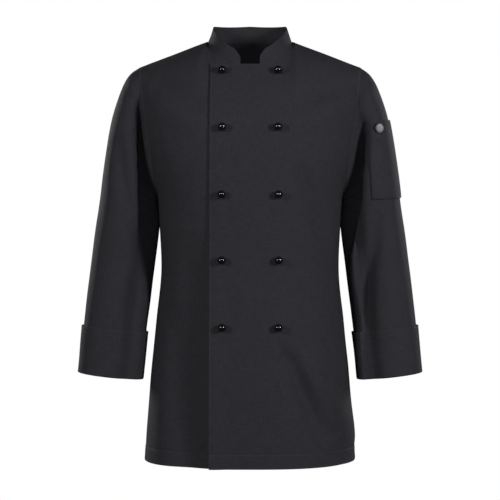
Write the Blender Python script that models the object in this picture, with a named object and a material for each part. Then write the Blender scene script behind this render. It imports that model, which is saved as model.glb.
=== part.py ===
"""Double-breasted chef jacket, filled out as if worn, hollow and open at neck, hem and cuffs.

Run with: blender --background --python part.py
Units are metres, +Z is up, +X is the wearer's left and -Y is the front. The origin is where the
wearer's shoulders and neck hold the jacket, at the height of the neck ends of the shoulder seams.
Every panel is a cloth wall: a grid of points on a named form, and the same grid moved inwards.
"""

import bisect
import math
from collections import namedtuple

import bmesh
import bpy
from mathutils import Vector
from mathutils.bvhtree import BVHTree

# ---------------------------------------------------------------- driving sizes

CLOTH = 0.0015  # wall of a single cloth panel
BAND = 0.0024  # wall of the collar, two layers and stiffening
SEAM = 0.0004  # gap where two panels meet
ARMHOLE_GAP = 0.0009  # gap where a sleeve turns away from the panels
REST = 0.00035  # gap under what lies on a panel

HEM_Z = -0.745
YOKE_Z = -0.150  # above this level the panels curve over the shoulder
ARMPIT_Z = -0.285
ARMPIT_UP = (ARMPIT_Z - HEM_Z) / (YOKE_Z - HEM_Z)  # the armpit's place between hem and yoke
ARMHOLE_FRONT = 0.058  # how far the armhole reaches forwards of the side seam
ARMHOLE_BACK = 0.062
NECK_X = 0.0755  # neck end of the shoulder seam
SHOULDER_X = 0.198  # sleeve end of the shoulder seam
SHOULDER_Z = -0.0455

LAP = 0.068  # both fronts run this far past the centre
LAP_TOP = -0.052  # past the centre their top edges run level
LAP_RISE = 0.0023  # the left front lies this far outside the right one
LAP_SINK = 0.0010  # the right front turns inwards this much past the centre
LAP_LIFT = 0.0055  # the free edge of the left front stands off at the hem
LAP_BLEND = 0.25  # share of a half front over which the left front comes down to the form
LAP_LIFT_END = 0.75  # the free edge lies flat from this share of the height to the yoke level

COLLAR_ROUND = 0.012  # corner radius of the collar's front ends
COLLAR_CUT = 0.95  # share of a full corner that the rounding takes away

STUD_X = 0.0465  # from the centre line to each column of studs
STUD_LEVELS = (-0.068, -0.166, -0.279, -0.391, -0.506)
STUD_BALL = 0.0070  # radius of the ball
STUD_SHANK = 0.0017  # radius of the shank
STUD_EYELET = 0.0025  # radius of the hole in each front
STUD_CUT = 0.016  # length of the tool that cuts both holes
STUD_REST = 0.0009  # gap between the ball and the cloth
STUD_BACK = 0.0056  # radius of the disc behind the cloth
STUD_BACK_THICK = 0.0014
STUD_BACK_GAP = 0.0017
STUD_FLAT = 0.93  # the ball is cut off at this share of its radius, where it sits on the cloth

CUFF_LAYER_LOW = 0.0010  # gap between the sleeve and its turned-back cuff, at the fold
CUFF_LAYER_TOP = 0.0022  # the same gap at the cuff's upper edge
CUFF_INNER = 0.012  # the inner leaf of the cuff, below the end of the sleeve tube
CUFF_TOP = 0.083  # the cuff's height above its fold
CUFF_TURN = 0.002  # the fold's own height
CUFF_CREST = 0.003  # from where the fold starts to its lowest place outside
CUFF_HOLLOW = 0.0012  # and inside
CUFF_FLAT = 0.15  # half the share of the fold's hollow that is flat

POCKET_TOP = -0.141
POCKET_FOOT = -0.280
POCKET_DROOP = 0.006  # the pocket's front edge hangs this much lower than its back edge
POCKET_TURN = (14.0, 87.0)  # degrees round the arm, from straight outside towards the front
POCKET_SWING = 5.0  # degrees that the front edge's foot stands further to the front
POCKET_REST = 0.0016  # gap under the pocket, which spans the sleeve's facets
ARM_HIGH = (0.200, -0.001, -0.140)  # two points of the arm's middle line inside the sleeve
ARM_LOW = (0.216, -0.004, -0.290)
BADGE_Z = -0.160
BADGE_TURN = 68.0  # degrees round the arm
BADGE_R = 0.0098
BADGE_THICK = 0.0018
BADGE_REST = 0.0008  # gap between the badge and the pocket

# ---------------------------------------------------------------- form tables

# The body at each level: half width at the side seams, depth to the front and to the back of
# the shoulder line, and how square the ring is (2 is an ellipse).
Level = namedtuple("Level", "z half front back square")
BODY = (
    Level(-0.745, 0.1885, 0.1370, 0.1330, 2.5),
    Level(-0.620, 0.1795, 0.1340, 0.1300, 2.4),
    Level(-0.500, 0.1680, 0.1290, 0.1200, 2.4),
    Level(-0.400, 0.1590, 0.1260, 0.1110, 2.4),
    Level(-0.330, 0.1600, 0.1270, 0.1130, 2.4),
    Level(-0.285, 0.1650, 0.1285, 0.1180, 2.4),
    Level(-0.220, 0.1800, 0.1285, 0.1240, 2.5),
    Level(-0.150, 0.1950, 0.1220, 0.1220, 2.6),
    Level(-0.100, 0.2040, 0.1120, 0.1150, 2.6),
)

# The neckline, by angle round the neck from the centre front (0) to the centre back (180).
Neck = namedtuple("Neck", "angle height rise lean")
NECKLINE = (
    Neck(0.0, -0.0520, 0.0215, 0.0030),
    Neck(14.0, -0.0517, 0.0228, 0.0035),
    Neck(24.0, -0.0503, 0.0305, 0.0040),
    Neck(34.0, -0.0430, 0.0320, 0.0050),
    Neck(44.0, -0.0315, 0.0315, 0.0060),
    Neck(52.0, -0.0225, 0.0315, 0.0070),
    Neck(60.0, -0.0150, 0.0300, 0.0080),
    Neck(72.0, -0.0065, 0.0270, 0.0095),
    Neck(90.0, 0.0000, 0.0245, 0.0105),
    Neck(125.0, 0.0075, 0.0290, 0.0060),
    Neck(180.0, 0.0100, 0.0310, 0.0040),
)
NECK_FRONT = 0.086  # depth of the neckline in front of the shoulder line
NECK_BACK = 0.068
NECK_SQUARE = 2.7

# A half panel's own coordinate runs from 0 at the centre line to 1 at the side.
LAP_SHARE = 0.3  # the edge of the overlap
NECK_SHARE = 0.5  # the neck end of the shoulder seam

# The arcs from the yoke level to the top edge, each value at the neck and over the shoulder: how
# far the arc's two control points lie from its ends, and the direction in which it arrives.
Arc = namedtuple("Arc", "foot head_height head_depth backward upward")
ARC_NECK = Arc(0.38, 0.30, 0.0, 0.45, 1.0)
ARC_SHOULDER = Arc(0.55, 0.0, 0.55, 1.0, 0.0)
ARC_START = 0.2  # the neck's arc turns into the shoulder's from here to the end of the neckline

# The sleeve's sections, each in a plane through its inner and its outer point, which turns about
# the armpit until the sleeve hangs. Place 0 is the armhole, 1 to 3 the sleeve head, 4 to 7 the
# pocket, 9 the elbow, 11 the wrist and 12 the cuff's fold.
Section = namedtuple("Section", "place in_x in_z out_x out_z middle front back square")
SLEEVE = (
    Section(0, 0.1652, -0.285, 0.1980, -0.0455, 0.000, 0.060, 0.064, 2.2),
    Section(1, 0.1664, -0.287, 0.2130, -0.0560, 0.000, 0.063, 0.067, 2.2),
    Section(2, 0.1667, -0.289, 0.2250, -0.0730, 0.000, 0.065, 0.069, 2.2),
    Section(3, 0.1668, -0.291, 0.2350, -0.0960, 0.000, 0.067, 0.070, 2.2),
    Section(4, 0.1668, -0.294, 0.2465, -0.1340, -0.001, 0.068, 0.071, 2.2),
    Section(5, 0.1660, -0.300, 0.2570, -0.1900, -0.002, 0.068, 0.071, 2.2),
    Section(6, 0.1648, -0.309, 0.2635, -0.2380, -0.003, 0.068, 0.070, 2.2),
    Section(7, 0.1638, -0.322, 0.2690, -0.2830, -0.004, 0.067, 0.068, 2.2),
    Section(8, 0.1655, -0.353, 0.2765, -0.3380, -0.006, 0.064, 0.065, 2.2),
    Section(9, 0.1705, -0.400, 0.2830, -0.3890, -0.010, 0.060, 0.061, 2.2),
    Section(10, 0.1770, -0.455, 0.2890, -0.4440, -0.017, 0.056, 0.055, 2.2),
    Section(11, 0.1845, -0.520, 0.2955, -0.5080, -0.024, 0.051, 0.049, 2.2),
    Section(12, 0.1920, -0.6020, 0.3035, -0.5890, -0.030, 0.048, 0.045, 2.2),
)
ARMHOLE_FADE = 5  # places over which the armhole's saddle shape dies out
CUFF_FOLD = SLEEVE[-1].place

# The largest folds of each piece, as soft troughs (depth below 0) or ridges along a line from
# one place to the other. A place on the body is (x, z); on a sleeve it is (place, angle).
Fold = namedtuple("Fold", "piece start end depth reach")
FOLDS = (
    Fold("front", (0.055, -0.560), (0.165, -0.745), -0.0050, 0.020),
    Fold("front", (0.105, -0.560), (0.188, -0.700), 0.0030, 0.018),
    Fold("back", (-0.060, -0.560), (-0.095, -0.745), -0.0060, 0.026),
    Fold("back", (0.050, -0.600), (0.075, -0.745), -0.0050, 0.026),
    Fold("back", (-0.120, -0.230), (-0.060, -0.420), -0.0040, 0.024),
    Fold("back", (0.120, -0.240), (0.070, -0.410), -0.0040, 0.024),
    Fold("sleeve right", (1.0, 130.0), (8.0, 128.0), -0.0100, 18.0),
    Fold("sleeve left", (1.5, 132.0), (8.0, 126.0), -0.0100, 18.0),
)

# ---------------------------------------------------------------- mesh fineness

LAP_COLUMNS = 4  # columns of cloth from the centre line to the edge of the overlap
NECK_COLUMNS = {"front": 3, "back": 4}  # from there to the neck end of the shoulder seam
SHOULDER_COLUMNS = 5  # from there to the armhole
LOW_ROWS = 6  # rows from the hem to the armpit
ARMHOLE_ROWS = 7  # rows from the armpit to the yoke level
YOKE_ROWS = 7  # rows from there to the top edge
POCKET_COLUMNS = 8
POCKET_ROWS = 6
ARMHOLE_STEPS = ARMHOLE_ROWS * YOKE_ROWS  # close points along each half of the armhole's edge
COLLAR_ROWS = (0.0, 0.5, 1.0)  # shares of the collar's height
CORNER_COLUMNS = (0.12, 0.35, 0.65)  # extra columns at each end of the collar
STUD_SIDES = 12
STUD_STEPS = 6  # rings of a stud's ball
EYELET_SIDES = 8
BADGE_SIDES = 20
BODY_STEP = 0.002  # step in a panel's coordinates by which its slopes are measured
SLEEVE_STEP = 0.01  # the same in a sleeve's
YOKE_STEP = 0.004  # the same, in metres below the yoke level
HALVINGS = 30


def smooth(value):
    value = min(1.0, max(0.0, value))
    return value * value * (3.0 - 2.0 * value)


def mix(low, high, share):
    return low + (high - low) * share


def read(rows, where, field):
    """The smooth value of a table's column at a place along its first column."""
    places = [row[0] for row in rows]
    values = [getattr(row, field) for row in rows]
    where = min(max(where, places[0]), places[-1])
    i = min(max(bisect.bisect_right(places, where) - 1, 0), len(rows) - 2)

    def slope(k):
        if k == 0 or k == len(rows) - 1:
            j = min(k, len(rows) - 2)
            return (values[j + 1] - values[j]) / (places[j + 1] - places[j])
        before = (values[k] - values[k - 1]) / (places[k] - places[k - 1])
        after = (values[k + 1] - values[k]) / (places[k + 1] - places[k])
        return 0.0 if before * after <= 0.0 else 2.0 * before * after / (before + after)

    span = places[i + 1] - places[i]
    s = (where - places[i]) / span
    rise = values[i + 1] - values[i]
    bend = span * (slope(i) * (1.0 - s) ** 2 * s - slope(i + 1) * s**2 * (1.0 - s))
    return values[i] + rise * s * s * (3.0 - 2.0 * s) + bend


# ---------------------------------------------------------------- the body's form


def ring_point(angle, half, front, back, square):
    """A point (x, y) of a ring, by angle from the front (0) through +X (90) to the back (180)."""
    across = math.sin(angle)
    forward = math.cos(angle)
    reach = (abs(across) ** square + abs(forward) ** square) ** (-1.0 / square)
    depth = front if forward > 0.0 else back
    return half * reach * across, -depth * reach * forward


def body_at(z, angle):
    half, front, back, square = [read(BODY, z, field) for field in ("half", "front", "back", "square")]
    x, y = ring_point(angle, half, front, back, square)
    return Vector((x, y, z))


def angle_at_depth(z, depth, face):
    """The ring angle at which the body at level z lies `depth` in front of or behind the side."""
    square = read(BODY, z, "square")
    share = depth / read(BODY, z, face)
    angle = math.atan2((1.0 - share**square) ** (1.0 / square), share)
    return angle if face == "front" else math.pi - angle


def angle_at_x(z, x):
    square = read(BODY, z, "square")
    share = x / read(BODY, z, "half")
    return math.atan2(share, (1.0 - share**square) ** (1.0 / square))


def side_angle(z, face):
    """Where a panel ends: at the side seam, and above the armpit at the edge of the armhole."""
    reach = 0.0
    if z > ARMPIT_Z:
        level = min(1.0, (YOKE_Z - z) / (YOKE_Z - ARMPIT_Z))
        width = ARMHOLE_FRONT if face == "front" else ARMHOLE_BACK
        reach = width * math.sqrt(1.0 - level * level)
    return angle_at_depth(z, SEAM / 2 + reach, face)


def neck_at(angle):
    """A point of the neckline, by angle round the neck in radians."""
    x, y = ring_point(angle, NECK_X, NECK_FRONT, NECK_BACK, NECK_SQUARE)
    return Vector((x, y, read(NECKLINE, math.degrees(angle), "height")))


def neck_angle_at_x(x):
    share = x / NECK_X
    return math.atan2(share, (1.0 - share**NECK_SQUARE) ** (1.0 / NECK_SQUARE))


def low_at(face, across, z):
    """A point between hem and yoke level. `across` runs from 0 at the centre to 1 at the side."""
    end = side_angle(z, face)
    if face == "back":
        return body_at(z, mix(math.pi, end, across))
    if across <= LAP_SHARE:
        return body_at(z, angle_at_x(z, LAP * across / LAP_SHARE))
    lap = angle_at_x(z, LAP)
    return body_at(z, mix(lap, end, (across - LAP_SHARE) / (1.0 - LAP_SHARE)))


def neck_turn(face, across):
    """The angle round the neck at which a column of a half panel meets the neckline."""
    side = math.pi / 2
    if face == "back":
        return mix(math.pi, side, across / NECK_SHARE)
    if across <= LAP_SHARE:
        return neck_angle_at_x(LAP * across / LAP_SHARE)
    return mix(neck_angle_at_x(LAP), side, (across - LAP_SHARE) / (NECK_SHARE - LAP_SHARE))


def top_at(face, across):
    """A point of the panel's top edge: the neckline, then the shoulder seam."""
    y = -SEAM / 2 if face == "front" else SEAM / 2
    if across > NECK_SHARE:
        share = (across - NECK_SHARE) / (1.0 - NECK_SHARE)
        return Vector((mix(NECK_X, SHOULDER_X, share), y, SHOULDER_Z * share))
    return neck_at(neck_turn(face, across)) + Vector((0.0, y * smooth(across / NECK_SHARE), 0.0))


def half_at(face, across, up):
    """A point of a half panel. `up` runs from 0 at the hem to 1 at the yoke level and 2 on top."""
    if up <= 1.0:
        return low_at(face, across, mix(HEM_Z, YOKE_Z, up))
    foot = low_at(face, across, YOKE_Z)
    rising = (foot - low_at(face, across, YOKE_Z - YOKE_STEP)) / YOKE_STEP
    head = top_at(face, across)
    over = smooth((across - ARC_START) / (NECK_SHARE - ARC_START))
    arc = Arc(*(mix(neck, shoulder, over) for neck, shoulder in zip(ARC_NECK, ARC_SHOULDER)))
    backward = arc.backward if face == "front" else -arc.backward
    leaving = Vector((0.0, backward, arc.upward)).normalized()
    height = (head - foot).z
    depth = abs((head - foot).y)
    near = foot + rising * height * arc.foot
    far = head - leaving * (height * arc.head_height + depth * arc.head_depth)
    s = up - 1.0
    return foot * (1 - s) ** 3 + near * 3 * s * (1 - s) ** 2 + far * 3 * s * s * (1 - s) + head * s**3


def up_at_level(across, z):
    """The `up` at which a column of the half front, above the yoke level, lies at level z."""
    low, high = 1.0, 2.0
    for _ in range(HALVINGS):
        up = (low + high) / 2
        if half_at("front", across, up).z < z:
            low = up
        else:
            high = up
    return low


def fold_depth(piece, place):
    """How far the cloth of a piece is moved out at a place by its folds."""
    total = 0.0
    for fold in FOLDS:
        if fold.piece != piece:
            continue
        line = Vector(fold.end) - Vector(fold.start)
        along = (Vector(place) - Vector(fold.start)).dot(line) / line.length_squared
        away = (Vector(place) - Vector(fold.start) - line * min(1.0, max(0.0, along))).length
        fade = smooth(along * 3.0 + 0.5)
        total += fold.depth * fade * math.exp(-((away / fold.reach) ** 2))
    return total


def form_at(face, across, up):
    """A point of the unfolded form, for `across` from -1 (wearer's right) to 1 (left)."""
    point = half_at(face, abs(across), up)
    if across < 0.0:
        point.x = -point.x
    return point


def form_normal(face, across, up):
    left = min(1.0, across + BODY_STEP)
    right = max(-1.0, across - BODY_STEP)
    high = min(2.0, up + BODY_STEP)
    low = max(0.0, up - BODY_STEP)
    sideways = form_at(face, left, up) - form_at(face, right, up)
    upwards = form_at(face, across, high) - form_at(face, across, low)
    normal = sideways.cross(upwards).normalized()
    return normal if face == "front" else -normal


# ---------------------------------------------------------------- cloth walls


def add_object(name, mesh, finish):
    mesh.materials.append(finish)
    obj = bpy.data.objects.new(name, mesh)
    bpy.context.scene.collection.objects.link(obj)
    return obj


def cloth_wall(name, outer, inner, finish, ring=False):
    """One closed wall between two grids of points. With `ring`, the columns close on themselves."""
    rows = len(outer)
    columns = len(outer[0])
    bm = bmesh.new()
    out = [[bm.verts.new(point) for point in row] for row in outer]
    back = [[bm.verts.new(point) for point in row] for row in inner]
    last = columns if ring else columns - 1

    def quad(a, b, c, d):
        bm.faces.new((a, b, c))
        bm.faces.new((c, d, a))

    for r in range(rows - 1):
        for c in range(last):
            d = (c + 1) % columns
            quad(out[r][c], out[r][d], out[r + 1][d], out[r + 1][c])
            quad(back[r][c], back[r + 1][c], back[r + 1][d], back[r][d])
    for c in range(last):
        d = (c + 1) % columns
        quad(out[0][d], out[0][c], back[0][c], back[0][d])
        quad(out[-1][c], out[-1][d], back[-1][d], back[-1][c])
    if not ring:
        for r in range(rows - 1):
            quad(out[r][0], out[r + 1][0], back[r + 1][0], back[r][0])
            quad(out[r + 1][-1], out[r][-1], back[r][-1], back[r + 1][-1])
    bmesh.ops.recalc_face_normals(bm, faces=bm.faces)
    mesh = bpy.data.meshes.new(name)
    bm.to_mesh(mesh)
    bm.free()
    mesh.shade_smooth()
    mesh.set_sharp_from_angle(angle=math.radians(50))
    return add_object(name, mesh, finish)


def panel_rows():
    """The rows of every panel, from the hem (0) past the yoke level (1) to the top edge (2)."""
    rows = [ARMPIT_UP * i / LOW_ROWS for i in range(LOW_ROWS + 1)]
    for i in range(1, ARMHOLE_ROWS + 1):
        turn = math.pi / 2 * i / ARMHOLE_ROWS
        rows.append(mix(1.0, ARMPIT_UP, math.cos(turn)))
    rows += [1.0 + i / YOKE_ROWS for i in range(1, YOKE_ROWS + 1)]
    return rows


def lap_offset(across, up):
    """How far the left front lies outside the right one."""
    offset = LAP_RISE * (1.0 - smooth((across - LAP_SHARE) / LAP_BLEND))
    edge = smooth(2.0 * -across / LAP_SHARE - 1.0)
    return offset + LAP_LIFT * edge * (1.0 - smooth(up / LAP_LIFT_END))


def under_offset(across, up):
    """How far the right front lies outside the form, which is only past the centre, and inwards."""
    return -LAP_SINK * smooth(2.0 * across / LAP_SHARE)


def no_offset(across, up):
    return 0.0


def panel_walls(face, columns, offset, past=0):
    """The two grids of a panel. `past` is the side, 1 or -1, on which a front is past the centre."""
    outer = []
    inner = []
    tops = [up_at_level(abs(c), LAP_TOP) if c * past > 0.0 else 2.0 for c in columns]
    for row in panel_rows():
        points = []
        for across, top in zip(columns, tops):
            up = row if row <= 1.0 else mix(1.0, top, row - 1.0)
            point = form_at(face, across, up)
            normal = form_normal(face, across, up)
            moved = offset(across, up) + fold_depth(face, (point.x, point.z))
            points.append((point + normal * moved, normal))
        outer.append([point for point, normal in points])
        inner.append([point - normal * CLOTH for point, normal in points])
    return outer, inner


def columns_of(face):
    """The columns of a half panel, from its centre line to its side."""
    stages = [(NECK_SHARE, NECK_COLUMNS[face]), (1.0, SHOULDER_COLUMNS)]
    if face == "front":
        stages.insert(0, (LAP_SHARE, LAP_COLUMNS))
    columns = [0.0]
    for end, count in stages:
        start = columns[-1]
        columns += [mix(start, end, i / count) for i in range(1, count + 1)]
    return columns


def make_body(cloth):
    half = columns_of("front")
    lap = half[1 : LAP_COLUMNS + 1]
    left = [-across for across in reversed(lap)] + half
    right = [-across for across in reversed(half)] + lap
    half = columns_of("back")
    whole = [-across for across in reversed(half)] + half[1:]
    cloth_wall("front_left", *panel_walls("front", left, lap_offset, past=-1), cloth)
    cloth_wall("front_right", *panel_walls("front", right, under_offset, past=1), cloth)
    cloth_wall("back", *panel_walls("back", whole, no_offset), cloth)


# ---------------------------------------------------------------- sleeves and cuffs


def armhole_edge(face):
    """The edge of the armhole from the shoulder seam down to the armpit, as close points."""
    quarter = math.pi / 2 / ARMHOLE_STEPS
    ups = [2.0 - i / ARMHOLE_STEPS for i in range(ARMHOLE_STEPS)]
    ups += [mix(1.0, ARMPIT_UP, math.sin(quarter * i)) for i in range(ARMHOLE_STEPS + 1)]
    return [half_at(face, 1.0, up) for up in ups]


def lengths_along(points):
    lengths = [0.0]
    for a, b in zip(points, points[1:]):
        lengths.append(lengths[-1] + (b - a).length)
    return lengths


def along_line(points, share):
    """The point at a share of a line's length."""
    lengths = lengths_along(points)
    target = share * lengths[-1]
    i = min(max(bisect.bisect_right(lengths, target) - 1, 0), len(points) - 2)
    span = lengths[i + 1] - lengths[i]
    return points[i].lerp(points[i + 1], 0.0 if span == 0.0 else (target - lengths[i]) / span)


ARMHOLE = {face: armhole_edge(face) for face in ("front", "back")}


def section_at(at, angle):
    """A point of the left sleeve's plain tube. The angle is 0 outside and 90 in front."""
    inner = Vector((read(SLEEVE, at, "in_x"), 0.0, read(SLEEVE, at, "in_z")))
    outer = Vector((read(SLEEVE, at, "out_x"), 0.0, read(SLEEVE, at, "out_z")))
    centre = (inner + outer) / 2
    centre.y = read(SLEEVE, at, "middle")
    across = (outer - inner) / 2
    square = read(SLEEVE, at, "square")
    outward = math.cos(angle)
    forward = math.sin(angle)
    reach = (abs(outward) ** square + abs(forward) ** square) ** (-1.0 / square)
    depth = read(SLEEVE, at, "front") if forward > 0.0 else read(SLEEVE, at, "back")
    return centre + across * reach * outward - Vector((0.0, depth * reach * forward, 0.0))


def tube_at(at, angle):
    """A point of the left sleeve: the plain tube, led into the armhole's own edge at the top."""
    point = section_at(at, angle)
    turn = angle % (2 * math.pi)
    face = "front" if turn <= math.pi else "back"
    share = turn / math.pi if face == "front" else 2.0 - turn / math.pi
    edge = along_line(ARMHOLE[face], share) + Vector((ARMHOLE_GAP, 0.0, 0.0))
    left_over = edge - section_at(0.0, angle)
    return point + left_over * (1.0 - smooth(at / ARMHOLE_FADE))


def tube_normal(at, angle):
    lower = tube_at(min(CUFF_FOLD, at + SLEEVE_STEP), angle)
    down = lower - tube_at(max(0.0, at - SLEEVE_STEP), angle)
    round_it = tube_at(at, angle + SLEEVE_STEP) - tube_at(at, angle - SLEEVE_STEP)
    return round_it.cross(down).normalized()


def sleeve_at(side, at, angle, out=0.0):
    """A point of a sleeve with its folds, moved out by `out`. `side` is 1 for the left, -1 right."""
    piece = "sleeve left" if side > 0 else "sleeve right"
    moved = out + fold_depth(piece, (at, math.degrees(angle % (2 * math.pi))))
    point = tube_at(at, angle) + tube_normal(at, angle) * moved
    point.x *= side
    return point


def sleeve_sides():
    """The angles of the sleeve's sides, which meet the corners of the panels at the armhole."""
    corners = list(range(0, ARMHOLE_STEPS, ARMHOLE_STEPS // YOKE_ROWS))
    corners += range(ARMHOLE_STEPS, 2 * ARMHOLE_STEPS + 1, ARMHOLE_STEPS // ARMHOLE_ROWS)
    front = lengths_along(ARMHOLE["front"])
    back = lengths_along(ARMHOLE["back"])
    angles = [math.pi * front[i] / front[-1] for i in corners]
    return angles + [math.pi * (2.0 - back[i] / back[-1]) for i in reversed(corners[1:-1])]


def above_fold(length):
    """The place along a sleeve that lies a length above the cuff's fold."""
    last_span = section_at(CUFF_FOLD, 0.0) - section_at(CUFF_FOLD - 1, 0.0)
    return CUFF_FOLD - length / last_span.length


def ring_of(side, at, out):
    return [sleeve_at(side, at, angle, out) for angle in sleeve_sides()]


def make_sleeve(side, name, cloth):
    places = [section.place for section in SLEEVE[:-1]] + [above_fold(CUFF_INNER + SEAM)]
    outer = [ring_of(side, at, 0.0) for at in places]
    inner = [ring_of(side, at, -CLOTH) for at in places]
    cloth_wall(name, outer, inner, cloth, ring=True)
    return outer


def make_cuff(side, name, cloth):
    """The turned-back cuff: an inner leaf below the sleeve's end, a fold and an outer leaf."""
    turn = above_fold(CUFF_TURN)
    crest = above_fold(CUFF_TURN - CUFF_CREST)
    hollow = above_fold(CUFF_TURN - CUFF_HOLLOW)
    outside = (
        (above_fold(CUFF_INNER), -CLOTH),
        (turn, -CLOTH),
        (crest, (CUFF_LAYER_LOW - CLOTH) / 2),
        (crest, CUFF_LAYER_LOW),
        (turn, CUFF_LAYER_LOW + CLOTH),
        (above_fold(CUFF_TOP), CUFF_LAYER_TOP + CLOTH),
    )
    inside = (
        (above_fold(CUFF_INNER), 0.0),
        (turn, 0.0),
        (hollow, CUFF_LAYER_LOW * (0.5 - CUFF_FLAT)),
        (hollow, CUFF_LAYER_LOW * (0.5 + CUFF_FLAT)),
        (turn, CUFF_LAYER_LOW),
        (above_fold(CUFF_TOP), CUFF_LAYER_TOP),
    )
    outer = [ring_of(side, at, out) for at, out in outside]
    inner = [ring_of(side, at, out) for at, out in inside]
    cloth_wall(name, outer, inner, cloth, ring=True)


# ---------------------------------------------------------------- collar


def collar_columns():
    """The collar's feet on the panels' own neckline corners, each with its angle round the neck."""
    front = [across for across in columns_of("front") if 0.0 < across <= NECK_SHARE + 1e-6]
    back = [across for across in columns_of("back") if across < NECK_SHARE - 1e-6]
    columns = []
    for across in front:
        normal = form_normal("front", across, 2.0)
        foot = form_at("front", across, 2.0) + normal * lap_offset(across, 2.0)
        columns.append((foot, neck_turn("front", across)))
    for across in reversed(back):
        columns.append((form_at("back", across, 2.0), neck_turn("back", across)))
    for across in back[1:]:
        columns.append((form_at("back", -across, 2.0), 2 * math.pi - neck_turn("back", across)))
    for across in reversed(front):
        columns.append((form_at("front", -across, 2.0), 2 * math.pi - neck_turn("front", across)))

    def corner(end, inward):
        return [
            (end[0].lerp(inward[0], share), mix(end[1], inward[1], share)) for share in CORNER_COLUMNS
        ]

    first = corner(columns[0], columns[1])
    last = list(reversed(corner(columns[-1], columns[-2])))
    return columns[:1] + first + columns[1:-1] + last + columns[-1:]


def collar_rise(angle):
    """The direction and length from the collar's foot to its top edge."""
    turn = math.degrees(angle if angle <= math.pi else 2 * math.pi - angle)
    inwards = Vector((-math.sin(angle) * NECK_X, math.cos(angle) * NECK_FRONT, 0.0)).normalized()
    return inwards * read(NECKLINE, turn, "lean") + Vector((0.0, 0.0, read(NECKLINE, turn, "rise")))


def corner_loss(distance):
    """How much lower the collar is at a distance from its rounded end."""
    inset = min(COLLAR_ROUND, max(0.0, COLLAR_ROUND - distance))
    return COLLAR_CUT * (COLLAR_ROUND - math.sqrt(COLLAR_ROUND**2 - inset**2))


def make_collar(cloth):
    columns = collar_columns()
    feet = [foot for foot, angle in columns]
    outer = [[] for _ in COLLAR_ROWS]
    inner = [[] for _ in COLLAR_ROWS]
    for i, (foot, angle) in enumerate(columns):
        near = feet[max(0, i - 1)]
        far = feet[min(len(feet) - 1, i + 1)]
        rise = collar_rise(angle)
        out = (far - near).cross(rise).normalized()
        height = rise.length - corner_loss(min((foot - feet[0]).length, (foot - feet[-1]).length))
        for share, outer_row, inner_row in zip(COLLAR_ROWS, outer, inner):
            point = foot + rise.normalized() * (REST + height * share)
            outer_row.append(point)
            inner_row.append(point - out * BAND)
    cloth_wall("collar", outer, inner, cloth)


# ---------------------------------------------------------------- pocket, badge and studs


def facets(grid):
    """The outer faces of a ring grid, to find places on them."""
    count = len(grid[0])
    points = [point for row in grid for point in row]
    faces = []
    for r in range(len(grid) - 1):
        for c in range(count):
            d = (c + 1) % count
            a, b = r * count + c, r * count + d
            faces += [(a, b, b + count), (b + count, a + count, a)]
    return BVHTree.FromPolygons(points, faces)


def on_sleeve(skin, z, turn, out):
    """The place on the left sleeve at level z and an angle round the arm, and its normal."""
    share = (z - ARM_HIGH[2]) / (ARM_LOW[2] - ARM_HIGH[2])
    middle = Vector(ARM_HIGH).lerp(Vector(ARM_LOW), share)
    angle = math.radians(turn)
    outwards = Vector((math.cos(angle), -math.sin(angle), 0.0))
    place, normal, *_ = skin.ray_cast(middle, outwards)
    if normal.dot(outwards) < 0.0:
        normal = -normal
    return place + outwards * out, normal


def make_pocket(skin, cloth):
    """The pen pocket on the left sleeve, found on the sleeve's own faces and moved out."""

    def grid(out):
        rows = []
        for row in range(POCKET_ROWS + 1):
            level = mix(POCKET_TOP, POCKET_FOOT, row / POCKET_ROWS)
            points = []
            for column in range(POCKET_COLUMNS + 1):
                share = column / POCKET_COLUMNS
                turn = mix(POCKET_TURN[0], POCKET_TURN[1], share) + POCKET_SWING * share * row / POCKET_ROWS
                points.append(on_sleeve(skin, level - POCKET_DROOP * share, turn, out)[0])
            rows.append(points)
        return rows

    cloth_wall("sleeve_pocket", grid(POCKET_REST + CLOTH), grid(POCKET_REST), cloth)


def turned(name, profile, sides_round, finish):
    """A closed turned solid about Z from its profile (radius, height), bottom to top."""
    bm = bmesh.new()
    rings = []
    for radius, height in profile:
        if radius == 0.0:
            rings.append([bm.verts.new((0.0, 0.0, height))])
            continue
        angles = [2 * math.pi * i / sides_round for i in range(sides_round)]
        rings.append([bm.verts.new((radius * math.cos(a), radius * math.sin(a), height)) for a in angles])
    for low, high in zip(rings, rings[1:]):
        for i in range(sides_round):
            j = (i + 1) % sides_round
            loop = [low[i % len(low)], low[j % len(low)], high[j % len(high)], high[i % len(high)]]
            bm.faces.new(list(dict.fromkeys(loop)))
    bmesh.ops.recalc_face_normals(bm, faces=bm.faces)
    mesh = bpy.data.meshes.new(name)
    bm.to_mesh(mesh)
    bm.free()
    mesh.shade_smooth()
    mesh.set_sharp_from_angle(angle=math.radians(35))
    mesh.materials.append(finish)
    return mesh


def place(name, mesh, point, normal):
    obj = bpy.data.objects.new(name, mesh)
    bpy.context.scene.collection.objects.link(obj)
    obj.location = point
    obj.rotation_euler = Vector(normal).to_track_quat("Z", "Y").to_euler()
    return obj


def make_badge(skin, finish):
    """A plain raised ring round a flat disc, on the pocket."""
    point, normal = on_sleeve(skin, BADGE_Z, BADGE_TURN, POCKET_REST + CLOTH + BADGE_REST)
    disc = BADGE_THICK * 0.7
    profile = (
        (0.0, 0.0),
        (BADGE_R, 0.0),
        (BADGE_R, disc),
        (BADGE_R * 0.92, BADGE_THICK),
        (BADGE_R * 0.80, BADGE_THICK),
        (BADGE_R * 0.76, disc),
        (0.0, disc),
    )
    place("pocket_badge", turned("pocket_badge", profile, BADGE_SIDES, finish), point, normal)


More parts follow.
